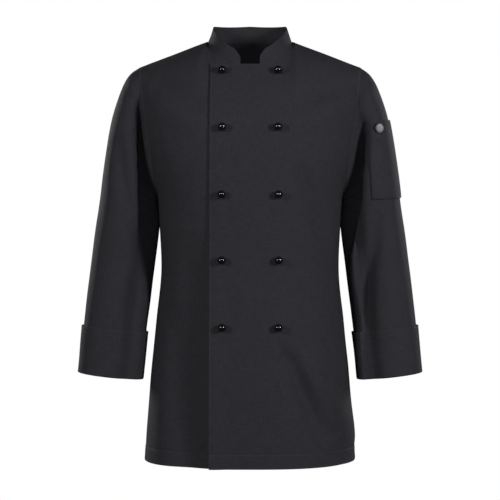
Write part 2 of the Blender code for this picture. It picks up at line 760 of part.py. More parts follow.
def stud_seat(x, z):
    """The outer face of the left front at a stud, and its normal."""
    across = LAP_SHARE * x / LAP
    up = (z - HEM_Z) / (YOKE_Z - HEM_Z) if z <= YOKE_Z else up_at_level(abs(across), z)
    normal = form_normal("front", across, up)
    moved = lap_offset(across, up) + fold_depth("front", (x, z))
    return form_at("front", across, up) + normal * moved, normal


def stud_profile():
    """Back disc inside the right front, shank through both fronts, and the ball outside."""
    inside = -(LAP_RISE + CLOTH + STUD_BACK_GAP)
    centre = STUD_REST + STUD_BALL * STUD_FLAT
    profile = [
        (0.0, inside - STUD_BACK_THICK),
        (STUD_BACK * 0.9, inside - STUD_BACK_THICK),
        (STUD_BACK, inside - STUD_BACK_THICK / 2),
        (STUD_BACK * 0.9, inside),
        (STUD_SHANK, inside),
        (STUD_SHANK, STUD_REST),
    ]
    for i in range(STUD_STEPS):
        angle = mix(-math.asin(STUD_FLAT), math.pi / 2, i / STUD_STEPS)
        profile.append((STUD_BALL * math.cos(angle), centre + STUD_BALL * math.sin(angle)))
    profile.append((0.0, centre + STUD_BALL))
    return profile


def make_studs(finish):
    mesh = turned("stud", stud_profile(), STUD_SIDES, finish)
    cutters = bmesh.new()
    for row, level in enumerate(STUD_LEVELS, start=1):
        for column, x in (("right", -STUD_X), ("left", STUD_X)):
            point, normal = stud_seat(x, level)
            place(f"stud_{column}_{row}", mesh, point, normal)
            made = bmesh.ops.create_cone(
                cutters,
                segments=EYELET_SIDES,
                radius1=STUD_EYELET,
                radius2=STUD_EYELET,
                depth=STUD_CUT,
                cap_ends=True,
            )
            turn = Vector(normal).to_track_quat("Z", "Y").to_matrix()
            bmesh.ops.rotate(cutters, verts=made["verts"], matrix=turn)
            bmesh.ops.translate(cutters, verts=made["verts"], vec=point)
    holes = bpy.data.meshes.new("eyelet_cutters")
    cutters.to_mesh(holes)
    cutters.free()
    cutter = bpy.data.objects.new("eyelet_cutters", holes)
    bpy.context.scene.collection.objects.link(cutter)
    cutter.hide_render = True
    cutter.display_type = "WIRE"
    for name in ("front_left", "front_right"):
        cut = bpy.data.objects[name].modifiers.new("eyelets", "BOOLEAN")
        cut.operation = "DIFFERENCE"
        cut.solver = "MANIFOLD"
        cut.object = cutter


# ---------------------------------------------------------------- the whole jacket


def finish_of(name, colour, roughness):
    material = bpy.data.materials.new(name)
    material.use_nodes = True
    shader = material.node_tree.nodes["Principled BSDF"]
    shader.inputs["Base Color"].default_value = (*colour, 1.0)
    shader.inputs["Roughness"].default_value = roughness
    material.diffuse_color = (*colour, 1.0)
    return material


def main():
    for obj in list(bpy.data.objects):
        bpy.data.objects.remove(obj, do_unlink=True)
    cloth = finish_of("black_twill", (0.030, 0.029, 0.033), 0.85)
    glossy = finish_of("black_gloss_plastic", (0.008, 0.008, 0.009), 0.15)
    pale = finish_of("badge_pale_plastic", (0.42, 0.42, 0.43), 0.35)
    make_body(cloth)
    for side, name in ((1, "left"), (-1, "right")):
        sleeve = make_sleeve(side, f"sleeve_{name}", cloth)
        make_cuff(side, f"cuff_{name}", cloth)
        if name == "left":
            skin = facets(sleeve)
            make_pocket(skin, cloth)
            make_badge(skin, pale)
    make_collar(cloth)
    make_studs(glossy)


main()
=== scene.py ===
"""The looks of a double-breasted chef jacket, filled out as if worn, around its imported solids.

Units are metres, +Z is up, +X is the wearer's left and -Y is the front. Each panel is a thin shell on
its solid's form: a grid of points from the same tables, with creases, hems and seams worked into it.
"""

import math
from collections import namedtuple

import bmesh
import bpy
import numpy as np
from bpy.props import FloatProperty, FloatVectorProperty, IntProperty, PointerProperty
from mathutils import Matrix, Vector, noise
from mathutils.bvhtree import BVHTree


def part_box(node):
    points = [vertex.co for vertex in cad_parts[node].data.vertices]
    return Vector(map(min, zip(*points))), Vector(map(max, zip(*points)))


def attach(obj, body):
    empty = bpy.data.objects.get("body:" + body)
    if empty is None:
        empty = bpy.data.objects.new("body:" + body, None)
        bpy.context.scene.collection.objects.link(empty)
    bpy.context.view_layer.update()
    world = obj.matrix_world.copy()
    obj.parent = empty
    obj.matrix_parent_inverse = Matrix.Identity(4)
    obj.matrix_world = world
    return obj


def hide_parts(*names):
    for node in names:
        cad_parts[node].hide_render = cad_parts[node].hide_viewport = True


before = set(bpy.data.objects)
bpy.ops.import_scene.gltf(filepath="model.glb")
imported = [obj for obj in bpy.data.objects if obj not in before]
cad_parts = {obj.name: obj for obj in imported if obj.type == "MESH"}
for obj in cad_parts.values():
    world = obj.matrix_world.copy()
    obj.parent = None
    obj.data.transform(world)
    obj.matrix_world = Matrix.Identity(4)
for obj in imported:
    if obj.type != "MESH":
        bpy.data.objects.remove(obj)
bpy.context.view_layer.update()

bl_info = {
    "name": "Chef Jacket",
    "version": (1, 0, 0),
    "blender": (4, 5, 0),
    "location": "3D View > Sidebar > Jacket",
    "description": "Builds a worn chef jacket of stitched twill with its studs, pocket and studio",
    "category": "Object",
}

# ---------------------------------------------------------------- sizes of the construction

HEM_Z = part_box("back")[0].z
YOKE_Z = -0.150  # above this level the panels curve over the shoulder
ARMPIT_Z = -0.285
ARMHOLE_FRONT = 0.058  # how far the armhole reaches forwards of the side seam
ARMHOLE_BACK = 0.062
NECK_X = 0.0755  # neck end of the shoulder seam
SHOULDER_X = 0.198  # sleeve end of the shoulder seam
SHOULDER_Z = -0.0455
NECK_FRONT = 0.086
NECK_BACK = 0.068
NECK_SQUARE = 2.7

LAP = 0.068  # both fronts run this far past the centre
LAP_TOP = -0.052  # past the centre their top edges run level
LAP_SINK = 0.0010  # the right front turns inwards this much past the centre
LAP_RISE = 0.0023  # the left front lies this far outside the right one
LAP_LIFT = 0.0055  # the free edge of the left front stands off at the hem
LAP_SPRING = 0.0014  # and springs up this much all along
LAP_BLEND = 0.25  # share of a half front over which the left front comes down to the form
LAP_LIFT_END = 0.75  # the free edge lies flat from this `up` on
LAP_SHARE = 0.3  # of a half front's own coordinate, from the centre line to the overlap's edge
NECK_SHARE = 0.5  # from the centre line to the neck end of the shoulder seam
ARMPIT_UP = (ARMPIT_Z - HEM_Z) / (YOKE_Z - HEM_Z)

COLLAR_WALL = 0.0024
COLLAR_ROUND = 0.012
COLLAR_START = 0.075  # the collar's end, as a share of the half front
COLLAR_CUT = 0.95  # share of a full corner that the rounding takes away
COLLAR_EDGE = 0.0009  # how far the collar's edges are rounded
COLLAR_STITCH = 1.0 - 0.0045 / 0.034  # share of its height at which its stitching runs
COLLAR_REST = -0.0014  # the collar starts inside the panels, as its seam does

CUFF_LAYER_LOW = 0.0010  # gap between the sleeve and its turned-back cuff, at the fold
CUFF_LAYER_TOP = 0.0022
CUFF_INNER = 0.012  # from the fold to the end of the sleeve's own tube, inside the cuff
CUFF_TOP = 0.083  # from the fold to the cuff's upper edge
CUFF_TURN = 0.002  # from the fold's crest to where the two leaves run straight
CUFF_STITCHES = (0.0035, 0.0105)  # from the upper edge to the two rows of stitching

POCKET_TOP = -0.141
POCKET_FOOT = -0.280
POCKET_DROOP = 0.006  # the pocket's front edge hangs this much lower than its back edge
POCKET_TURN = (14.0, 87.0)  # degrees round the arm, from straight outside towards the front
POCKET_SWING = 5.0  # degrees that the front edge's foot stands further to the front
POCKET_REST = 0.0008  # gap between the sleeve and the pocket
POCKET_FULL = 0.0007  # the pocket's middle stands out this much more than its edges
POCKET_HEM = 0.14  # share of the pocket's height from its top edge to the hem's stitching
POCKET_INSET = (0.030, 0.016)  # shares of its width and height from its edges to their stitching
ARM_HIGH = (0.200, -0.001, -0.140)  # two points of the arm's middle line inside the sleeve
ARM_LOW = (0.216, -0.004, -0.290)

BADGE_LEVEL = -0.160
BADGE_TURN = 68.0  # degrees round the arm, as for the pocket
BADGE_R = 0.0098
BADGE_REST = 0.0004  # gap between the pocket and the badge

# The badge's profiles: share of its radius, and height over the pocket.
Turned = namedtuple("Turned", "share height")
BADGE_RING = (
    Turned(0.72, 0.0),
    Turned(1.0, 0.0),
    Turned(1.0, 0.0011),
    Turned(0.985, 0.0015),
    Turned(0.92, 0.0018),
    Turned(0.83, 0.0018),
    Turned(0.77, 0.0016),
    Turned(0.73, 0.0011),
    Turned(0.72, 0.0),
)
BADGE_DISC = (
    Turned(0.0, 0.0001),
    Turned(0.725, 0.0001),
    Turned(0.725, 0.0010),
    Turned(0.69, 0.0013),
    Turned(0.63, 0.00135),
    Turned(0.59, 0.0012),
    Turned(0.27, 0.0013),
    Turned(0.0, 0.0013),
)

STUD_ROWS = 5
STUD_REST = 0.0006  # gap between the cloth and the ball
STUD_FLAT = 0.93  # the ball is cut off at this share of its radius, where it sits on the cloth
STUD_SHANK = 0.0017
STUD_BACK = 0.0056  # radius of the disc behind the cloth
STUD_BACK_THICK = 0.0014
STUD_BACK_DEPTH = 0.0051  # from the left front's face in to the disc
HOLE_RISE = 0.0010  # the buttonholes lie this much above the middle of the studs
HOLE_HALF = 0.0013  # half the height of a worked buttonhole

HEM_FOLD = 0.025  # depth of the hem
HEM_RISE = 0.0005  # the doubled hem stands out this much
HEM_STEP = 0.0015  # height over which it comes down to the single cloth
STITCH_SINK = 0.0004  # a row of stitching pulls the cloth in
STITCH_REACH = 0.0016  # and this far to each side
STITCH_ROWS = np.array([-0.0022, -0.0011, 0.0, 0.0011, 0.0022])  # close rows of points across it
EDGE_STITCH = 0.0048  # from the overlap's free edge to its stitching
TOP_STITCH = 0.0062  # from the overlap's top edge to its stitching
TWILL_RISE = math.radians(58)  # slope of the twill's ribs

SEAM_FADE = 0.006  # creases die out this close to the armhole's seam
SIDE_FADE = 0.10  # and folds over this share of a half panel beside the side seam
TOP_FADE = 0.12  # and creases over this much of `up` below the top edge
TUCK = 0.003  # seam allowance that runs on under the next panel
TUCK_IN = 0.0019  # and how far it lies inside it

# Over the shoulder a panel rises from the yoke level as a curve with two handles. From SHOULDER_FROM
# of the half panel to the neck's end they turn from the first value to the second.
SHOULDER_FROM = 0.2
LOW_HANDLE = (0.38, 0.55)  # length of the lower handle, as a share of the rise
TOP_HANDLE = (0.30, 0.55)  # of the upper one, as a share of the rise and then of the depth
TOP_LEAN = 0.45  # how far the upper handle leans off upright at the centre
YOKE_REACH = 0.14  # length of a panel above the yoke level
LAP_REACH = 0.105  # and of its overlap there
HALF_REACH = 0.22  # width of a front beside its overlap
BACK_REACH = 0.56  # width of the back, round its form
FORM_STEP = 0.004  # small steps along a panel and a sleeve, to find their normals
TUBE_STEP = 0.02

SOFTBOX_PLACE = (1.85, -1.75, 0.22)  # of the front right one; the others are turned about from it
SOFTBOX_SIZE = (0.40, 0.60)
FILL_PLACE = (0.0, -3.0, 0.75)
FILL_SIZE = (0.4, 0.4)
FLOOR_GREY = (0.86, 0.86, 0.86)
FLOOR_RADIUS = 2.6

# The body at each level: half width at the side seams, depth to the front and to the back of
# the shoulder line, and how square the ring is (2 is an ellipse).
Level = namedtuple("Level", "z half front back square")
BODY = (
    Level(-0.745, 0.1885, 0.1370, 0.1330, 2.5),
    Level(-0.620, 0.1795, 0.1340, 0.1300, 2.4),
    Level(-0.500, 0.1680, 0.1290, 0.1200, 2.4),
    Level(-0.400, 0.1590, 0.1260, 0.1110, 2.4),
    Level(-0.330, 0.1620, 0.1270, 0.1130, 2.4),
    Level(-0.285, 0.1650, 0.1285, 0.1180, 2.4),
    Level(-0.220, 0.1800, 0.1285, 0.1240, 2.5),
    Level(-0.150, 0.1950, 0.1220, 0.1220, 2.6),
    Level(-0.100, 0.2040, 0.1120, 0.1150, 2.6),
)

# The neckline, by angle round the neck from the centre front (0) to the centre back (180).
Neck = namedtuple("Neck", "angle height rise lean")
NECKLINE = (
    Neck(0.0, -0.0520, 0.0215, 0.0030),
    Neck(14.0, -0.0517, 0.0228, 0.0035),
    Neck(24.0, -0.0503, 0.0305, 0.0040),
    Neck(34.0, -0.0430, 0.0320, 0.0050),
    Neck(44.0, -0.0315, 0.0315, 0.0060),
    Neck(52.0, -0.0225, 0.0315, 0.0070),
    Neck(60.0, -0.0150, 0.0300, 0.0080),
    Neck(72.0, -0.0065, 0.0270, 0.0095),
    Neck(90.0, 0.0000, 0.0245, 0.0105),
    Neck(125.0, 0.0075, 0.0290, 0.0060),
    Neck(180.0, 0.0100, 0.0310, 0.0040),
)

# The sleeve's sections, from the armhole (place 0) to the cuff's fold.
Section = namedtuple("Section", "place in_x in_z out_x out_z middle front back square")
SLEEVE = (
    Section(0, 0.1652, -0.285, 0.1980, -0.0455, 0.000, 0.060, 0.064, 2.2),
    Section(1, 0.1656, -0.287, 0.2130, -0.0560, 0.000, 0.063, 0.067, 2.2),
    Section(2, 0.1654, -0.289, 0.2250, -0.0730, 0.000, 0.065, 0.069, 2.2),
    Section(3, 0.1652, -0.291, 0.2350, -0.0960, 0.000, 0.067, 0.070, 2.2),
    Section(4, 0.1649, -0.294, 0.2465, -0.1340, -0.001, 0.068, 0.071, 2.2),
    Section(5, 0.1642, -0.300, 0.2570, -0.1900, -0.002, 0.068, 0.071, 2.2),
    Section(6, 0.1628, -0.309, 0.2635, -0.2380, -0.003, 0.068, 0.070, 2.2),
    Section(7, 0.1620, -0.322, 0.2690, -0.2830, -0.004, 0.067, 0.068, 2.2),
    Section(8, 0.1650, -0.353, 0.2765, -0.3380, -0.006, 0.064, 0.065, 2.2),
    Section(9, 0.1705, -0.400, 0.2830, -0.3890, -0.010, 0.060, 0.061, 2.2),
    Section(10, 0.1770, -0.455, 0.2890, -0.4440, -0.017, 0.056, 0.055, 2.2),
    Section(11, 0.1845, -0.520, 0.2955, -0.5080, -0.024, 0.051, 0.049, 2.2),
    Section(12, 0.1920, -0.6020, 0.3035, -0.5890, -0.030, 0.048, 0.045, 2.2),
)
ARMHOLE_FADE = 5  # sections over which the armhole's saddle shape dies out
SLEEVE_END = SLEEVE[-1].place

# The solids' own folds: troughs (depth below 0) or ridges from one place to another. A place on
# the body is (x, z); on a sleeve it is (section, angle).
Fold = namedtuple("Fold", "piece start end depth reach")
FOLDS = (
    Fold("front", (0.055, -0.560), (0.165, -0.745), -0.0050, 0.020),
    Fold("front", (0.105, -0.560), (0.188, -0.700), 0.0030, 0.018),
    Fold("back", (-0.060, -0.560), (-0.095, -0.745), -0.0060, 0.026),
    Fold("back", (0.050, -0.600), (0.075, -0.745), -0.0050, 0.026),
    Fold("back", (-0.120, -0.230), (-0.060, -0.420), -0.0040, 0.024),
    Fold("back", (0.120, -0.240), (0.070, -0.410), -0.0040, 0.024),
    Fold("sleeve_right", (1.0, 130.0), (8.0, 128.0), -0.0100, 18.0),
    Fold("sleeve_left", (1.5, 132.0), (8.0, 126.0), -0.0100, 18.0),
)

# ---------------------------------------------------------------- creases of the cloth

# Troughs (depth below 0) and ridges along a line of (x, z) places, seen from the front or from the
# back. `width` is the half width where the line starts, and `flare` how much wider it ends.
Crease = namedtuple("Crease", "piece side depth width flare line")
CREASES = (
    # both fronts, and one trough of the right front alone
    Crease("front", "front", -0.0074, 0.009, 2.0,
           ((0.045, -0.528), (0.057, -0.548), (0.074, -0.568), (0.090, -0.612), (0.110, -0.662),
            (0.134, -0.715))),
    Crease("front", "front", 0.0048, 0.014, 1.4, ((0.086, -0.555), (0.116, -0.615), (0.146, -0.690))),
    Crease("front", "front", -0.0075, 0.013, 1.2,
           ((0.083, -0.222), (0.099, -0.270), (0.118, -0.317), (0.127, -0.370))),
    Crease("front", "front", -0.0075, 0.020, 1.3, ((-0.176, -0.072), (-0.130, -0.098), (-0.075, -0.132))),
    Crease("front", "front", 0.0050, 0.022, 1.2, ((-0.172, -0.105), (-0.125, -0.132), (-0.070, -0.166))),
    Crease("front", "front", -0.0080, 0.020, 1.3, ((0.172, -0.072), (0.120, -0.102), (0.062, -0.138))),
    Crease("front", "front", 0.0050, 0.022, 1.2, ((0.172, -0.108), (0.120, -0.138), (0.060, -0.172))),
    Crease("front_right", "front", -0.0140, 0.030, 1.2,
           ((-0.104, -0.330), (-0.108, -0.560), (-0.112, -0.860))),
    Crease("front", "front", -0.0050, 0.016, 1.5, ((-0.150, -0.420), (-0.135, -0.560), (-0.140, -0.720))),
    # the back
    Crease("back", "back", -0.0040, 0.013, 1.3, ((-0.168, -0.160), (-0.130, -0.220), (-0.110, -0.300))),
    Crease("back", "back", -0.0035, 0.012, 1.5, ((0.166, -0.170), (0.136, -0.215), (0.112, -0.315))),
    Crease("back", "back", 0.0022, 0.020, 1.0, ((-0.050, -0.120), (0.000, -0.132), (0.052, -0.121))),
    Crease("back", "back", -0.0026, 0.014, 1.6, ((-0.020, -0.430), (-0.034, -0.540), (-0.030, -0.700))),
    Crease("back", "back", -0.0030, 0.012, 2.0, ((0.118, -0.450), (0.124, -0.560), (0.142, -0.740))),
    # the wearer's left sleeve
    Crease("sleeve_left", "front", -0.0330, 0.014, 1.0,
           ((0.200, -0.130), (0.190, -0.189), (0.182, -0.226), (0.174, -0.262), (0.169, -0.300),
            (0.167, -0.340), (0.166, -0.390))),
    Crease("sleeve_left", "front", -0.0110, 0.014, 1.0,
           ((0.225, -0.300), (0.216, -0.370), (0.207, -0.415), (0.198, -0.468), (0.193, -0.530))),
    Crease("sleeve_left", "front", 0.0024, 0.010, 1.0, ((0.245, -0.380), (0.239, -0.475))),
    Crease("sleeve_left", "front", 0.0050, 0.012, 1.0, ((0.214, -0.085), (0.206, -0.110), (0.200, -0.140))),
    Crease("sleeve_left", "back", -0.0100, 0.012, 1.2, ((0.205, -0.170), (0.190, -0.250), (0.180, -0.330))),
    Crease("sleeve_left", "back", -0.0060, 0.011, 1.2, ((0.262, -0.330), (0.232, -0.370), (0.205, -0.378))),
    Crease("sleeve_left", "back", -0.0045, 0.010, 1.4, ((0.270, -0.400), (0.240, -0.430), (0.210, -0.470))),
    # the wearer's right sleeve
    Crease("sleeve_right", "front", -0.0380, 0.016, 0.9,
           ((-0.191, -0.095), (-0.186, -0.125), (-0.182, -0.171), (-0.176, -0.223), (-0.171, -0.276),
            (-0.169, -0.328), (-0.169, -0.380), (-0.172, -0.440))),
    Crease("sleeve_right", "front", -0.0060, 0.012, 1.0,
           ((-0.228, -0.160), (-0.227, -0.225), (-0.217, -0.276), (-0.205, -0.325), (-0.192, -0.365),
            (-0.180, -0.400))),
    Crease("sleeve_right", "front", -0.0034, 0.012, 1.0,
           ((-0.199, -0.417), (-0.204, -0.460), (-0.206, -0.500))),
    Crease("sleeve_right", "front", 0.0040, 0.010, 1.0,
           ((-0.214, -0.070), (-0.204, -0.088), (-0.196, -0.110))),
    Crease("sleeve_right", "back", -0.0100, 0.012, 1.2,
           ((-0.207, -0.160), (-0.192, -0.240), (-0.180, -0.320))),
    Crease("sleeve_right", "back", -0.0060, 0.011, 1.2,
           ((-0.266, -0.345), (-0.235, -0.375), (-0.206, -0.392))),
    Crease("sleeve_right", "back", -0.0040, 0.010, 1.4,
           ((-0.272, -0.425), (-0.246, -0.455), (-0.215, -0.500))),
)

SOFTNESS = 0.0007  # height of the slow unevenness of all cloth
SOFT_WAVE = 0.060  # and its length


# ---------------------------------------------------------------- curves and tables


def smooth(value):
    value = np.clip(value, 0.0, 1.0)
    return value * value * (3.0 - 2.0 * value)


def mix(low, high, share):
    return low + (high - low) * share


def unit(vectors):
    return vectors / np.maximum(np.linalg.norm(vectors, axis=-1, keepdims=True), 1e-12)


def stack(x, y, z):
    return np.stack(np.broadcast_arrays(x, y, z), axis=-1).astype(float)


def read(rows, where, field):
    """The smooth values of a table's column at places along its first column."""
    places = np.array([row[0] for row in rows], float)
    values = np.array([getattr(row, field) for row in rows], float)
    spans = np.diff(places)
    steps = np.diff(values) / spans
    before, after = steps[:-1], steps[1:]
    both = np.where(before * after > 0.0, before + after, 1.0)
    inner = np.where(before * after > 0.0, 2.0 * before * after / both, 0.0)
    slopes = np.concatenate([steps[:1], inner, steps[-1:]])
    where = np.clip(where, places[0], places[-1])
    i = np.clip(np.searchsorted(places, where, side="right") - 1, 0, len(rows) - 2)
    s = (where - places[i]) / spans[i]
    bend = spans[i] * (slopes[i] * (1.0 - s) ** 2 * s - slopes[i + 1] * s**2 * (1.0 - s))
    return values[i] + (values[i + 1] - values[i]) * s * s * (3.0 - 2.0 * s) + bend


# ---------------------------------------------------------------- the body's form


def ring_point(angle, half, front, back, square):
    """The (x, y) of a ring, by angle from the front (0) through +X (90) to the back (180)."""
    across = np.sin(angle)
    forward = np.cos(angle)
    reach = (np.abs(across) ** square + np.abs(forward) ** square) ** (-1.0 / square)
    depth = np.where(forward > 0.0, front, back)
    return half * reach * across, -depth * reach * forward


def body_at(z, angle):
    sizes = [read(BODY, z, field) for field in ("half", "front", "back", "square")]
    x, y = ring_point(angle, *sizes)
    return stack(x, y, z)


def angle_at_depth(z, depth, face):
    """The ring angle at which the body at level z lies `depth` in front of or behind the side."""
    square = read(BODY, z, "square")
    share = depth / read(BODY, z, face)
    angle = np.arctan2((1.0 - share**square) ** (1.0 / square), share)
    return angle if face == "front" else math.pi - angle


def angle_at_x(z, x):
    square = read(BODY, z, "square")
    share = x / read(BODY, z, "half")
    return np.arctan2(share, (1.0 - share**square) ** (1.0 / square))


def side_angle(z, face):
    """Where a panel ends: at the side seam, and above the armpit at the edge of the armhole."""
    level = np.clip((YOKE_Z - z) / (YOKE_Z - ARMPIT_Z), 0.0, 1.0)
    width = ARMHOLE_FRONT if face == "front" else ARMHOLE_BACK
    return angle_at_depth(z, width * np.sqrt(1.0 - level * level), face)


def neck_angle_at_x(x):
    share = x / NECK_X
    return np.arctan2(share, (1.0 - share**NECK_SQUARE) ** (1.0 / NECK_SQUARE))


def low_at(face, across, z):
    """A point between hem and yoke level. `across` runs from 0 at the centre to 1 at the side."""
    end = side_angle(z, face)
    if face == "back":
        return body_at(z, mix(math.pi, end, across))
    near = angle_at_x(z, LAP * np.minimum(across, LAP_SHARE) / LAP_SHARE)
    far = mix(angle_at_x(z, LAP), end, (across - LAP_SHARE) / (1.0 - LAP_SHARE))
    return body_at(z, np.where(across <= LAP_SHARE, near, far))


def neck_turn(face, across):
    """The angle round the neck at which a column of a half panel meets the neckline."""
    side = math.pi / 2
    if face == "back":
        return mix(math.pi, side, across / NECK_SHARE)
    near = neck_angle_at_x(LAP * np.minimum(across, LAP_SHARE) / LAP_SHARE)
    far = mix(neck_angle_at_x(LAP), side, (across - LAP_SHARE) / (NECK_SHARE - LAP_SHARE))
    return np.where(across <= LAP_SHARE, near, far)


def top_at(face, across):
    """A point of the panel's top edge: the neckline, then the shoulder seam."""
    turn = neck_turn(face, np.minimum(across, NECK_SHARE))
    x, y = ring_point(turn, NECK_X, NECK_FRONT, NECK_BACK, NECK_SQUARE)
    neck = stack(x, y, read(NECKLINE, np.degrees(turn), "height"))
    share = np.clip((across - NECK_SHARE) / (1.0 - NECK_SHARE), 0.0, 1.0)
    shoulder = stack(mix(NECK_X, SHOULDER_X, share), 0.0, SHOULDER_Z * share)
    return np.where((across > NECK_SHARE)[..., None], shoulder, neck)


def half_at(face, across, up):
    """Points of a half panel. `up` runs from 0 at the hem to 1 at the yoke level and 2 on top."""
    low = low_at(face, across, mix(HEM_Z, YOKE_Z, np.minimum(up, 1.0)))
    level = np.full_like(up, YOKE_Z)
    foot = low_at(face, across, level)
    rising = (foot - low_at(face, across, level - FORM_STEP)) / FORM_STEP
    head = top_at(face, across)
    back = 1.0 if face == "front" else -1.0
    over = smooth((across - SHOULDER_FROM) / (NECK_SHARE - SHOULDER_FROM))
    leaving = unit(stack(0.0, back * mix(TOP_LEAN, 1.0, over), mix(1.0, 0.0, over)))
    height = (head - foot)[..., 2:]
    depth = np.abs((head - foot)[..., 1:2])
    over = over[..., None]
    near = foot + rising * height * mix(*LOW_HANDLE, over)
    far = head - leaving * mix(height * TOP_HANDLE[0], depth * TOP_HANDLE[1], over)
    s = np.maximum(up - 1.0, 0.0)[..., None]
    high = foot * (1 - s) ** 3 + near * 3 * s * (1 - s) ** 2 + far * 3 * s * s * (1 - s) + head * s**3
    return np.where((up <= 1.0)[..., None], low, high)


def form_at(face, across, up):
    """Points of the plain form, for `across` from -1 (wearer's right) to 1 (left)."""
    across, up = np.broadcast_arrays(np.asarray(across, float), np.asarray(up, float))
    points = half_at(face, np.abs(across), up)
    points[..., 0] *= np.where(across < 0.0, -1.0, 1.0)
    return points


def form_normal(face, across, up):
    left, right = np.clip(across + FORM_STEP, -1, 1), np.clip(across - FORM_STEP, -1, 1)
    above, below = np.clip(up + FORM_STEP, 0, 2), np.clip(up - FORM_STEP, 0, 2)
    sideways = form_at(face, left, up) - form_at(face, right, up)
    upwards = form_at(face, across, above) - form_at(face, across, below)
    normal = unit(np.cross(sideways, upwards))
    return normal if face == "front" else -normal


# ---------------------------------------------------------------- folds and creases


def fold_depth(piece, places):
    """How far the cloth of a piece is moved out by the solids' own folds."""
    total = np.zeros(places.shape[:-1])
    for fold in FOLDS:
        if fold.piece != piece:
            continue
        start = np.array(fold.start)
        line = np.array(fold.end) - start
        along = (places - start) @ line / (line @ line)
        nearest = start + line * np.clip(along, 0.0, 1.0)[..., None]
        away = np.linalg.norm(places - nearest, axis=-1)
        total += fold.depth * smooth(along * 3.0 + 0.5) * np.exp(-((away / fold.reach) ** 2))
    return total


def rounded(line, count=24):
    """A smooth line through a few places, as close points."""
    line = np.array(line, float)
    steps = np.concatenate([[0.0], np.cumsum(np.linalg.norm(np.diff(line, axis=0), axis=1))])
    slopes = np.gradient(line, steps, axis=0)
    where = np.linspace(0.0, steps[-1], count)
    i = np.clip(np.searchsorted(steps, where, side="right") - 1, 0, len(line) - 2)
    span = (steps[i + 1] - steps[i])[:, None]
    s = ((where - steps[i]) / (steps[i + 1] - steps[i]))[:, None]
    bend = span * (slopes[i] * (1 - s) ** 2 * s - slopes[i + 1] * s**2 * (1 - s))
    return line[i] + (line[i + 1] - line[i]) * s * s * (3 - 2 * s) + bend


def crease_depth(crease, places):
    """How far one crease moves the cloth at (x, z) places."""
    line = rounded(crease.line)
    best = np.full(places.shape[:-1], np.inf)
    along = np.zeros_like(best)
    for k, (a, b) in enumerate(zip(line, line[1:])):
        step = b - a
        t = np.clip((places - a) @ step / (step @ step), 0.0, 1.0)
        offset = places - a - step * t[..., None]
        away = np.linalg.norm(offset, axis=-1)
        closer = away < best
        best = np.where(closer, away, best)
        along = np.where(closer, (k + t) / (len(line) - 1), along)
    width = crease.width * mix(1.0, crease.flare, along)
    fade = np.sin(np.pi * np.clip(along, 0.02, 0.98)) ** 0.7
    return crease.depth * fade * np.exp(-((best / width) ** 2))


def creases_at(piece, points, normals):
    """The sum of a piece's creases, each on the side that it is seen from."""
    places = points[..., [0, 2]]
    total = np.zeros(points.shape[:-1])
    for crease in CREASES:
        if crease.piece != piece:
            continue
        facing = -normals[..., 1] if crease.side == "front" else normals[..., 1]
        total += crease_depth(crease, places) * smooth((facing + 0.05) / 0.45)
    return total * bpy.context.scene.jacket_cloth.crease_share


def unevenness(points, height, wave, seed):
    """Slow random rise and fall of the cloth."""
    flat = points.reshape(-1, 3) / wave + seed
    values = [noise.noise(Vector(point)) for point in flat]
    return height * np.array(values).reshape(points.shape[:-1])


# ---------------------------------------------------------------- surfaces of the pieces


def hem_relief(up):
    """The hem's own thickness and the dent along its stitching."""
    height = up * (YOKE_Z - HEM_Z)
    step = smooth((HEM_FOLD - height) / HEM_STEP)
    return HEM_RISE * step - STITCH_SINK * np.exp(-(((height - HEM_FOLD) / STITCH_REACH) ** 2))


def level_tops(across):
    """The `up` at which each column of the half front reaches the level of the overlap's top edge."""
    across = np.atleast_1d(across)
    ups = np.linspace(1.0, 2.0, 200)
    tops = []
    for column in np.abs(across):
        levels = half_at("front", np.full_like(ups, column), ups)[:, 2]
        tops.append(np.interp(LAP_TOP, levels, ups))
    return np.array(tops)


def past_centre(across, up, past):
    """Rows of a front, squeezed under the level top edge on the side past the centre."""
    tops = np.where(across[0] * past > 0.0, level_tops(across[0]), 2.0)
    return np.where(up > 1.0, 1.0 + (up - 1.0) * (tops - 1.0), up)


def lap_offset(across, up):
    """How far the left front lies outside the right one."""
    offset = LAP_RISE * (1.0 - smooth((across - LAP_SHARE) / LAP_BLEND))
    edge = smooth((-across / LAP_SHARE - 0.5) / 0.5)
    return offset + edge * (LAP_SPRING + LAP_LIFT * (1.0 - smooth(up / LAP_LIFT_END)))


def lap_relief(across, up, points):
    """The dents along the stitching near the left front's free edge and top edge."""
    from_edge = LAP * (1.0 + across / LAP_SHARE)
    dent = np.exp(-(((from_edge - EDGE_STITCH) / STITCH_REACH) ** 2))
    from_top = LAP_TOP - points[..., 2]
    past = smooth(-across / 0.03)
    dent = np.maximum(dent, past * np.exp(-(((from_top - TOP_STITCH) / STITCH_REACH) ** 2)))
    return -STITCH_SINK * dent


def panel_at(piece, across, up, out=0.0):
    """Points of the outer face of front_left, front_right or back, moved out by `out`."""
    face = "back" if piece == "back" else "front"
    across, up = np.broadcast_arrays(np.asarray(across, float), np.asarray(up, float))
    points = form_at(face, across, up)
    normals = form_normal(face, across, up)
    seam = smooth((1.0 - np.abs(across)) / SIDE_FADE)
    quiet = seam * smooth((2.0 - up) / TOP_FADE)
    worn = creases_at(face, points, normals)
    if piece == "front_right":
        worn = worn + creases_at(piece, points, normals)
    worn = worn + unevenness(points, SOFTNESS, SOFT_WAVE, 3.0)
    moved = fold_depth(face, points[..., [0, 2]]) * seam + worn * quiet + hem_relief(up) + out
    if piece == "front_left":
        moved = moved + lap_offset(across, up) + lap_relief(across, up, points)
    if piece == "front_right":
        moved = moved - LAP_SINK * smooth(2.0 * across / LAP_SHARE)
    return points + normals * moved[..., None]


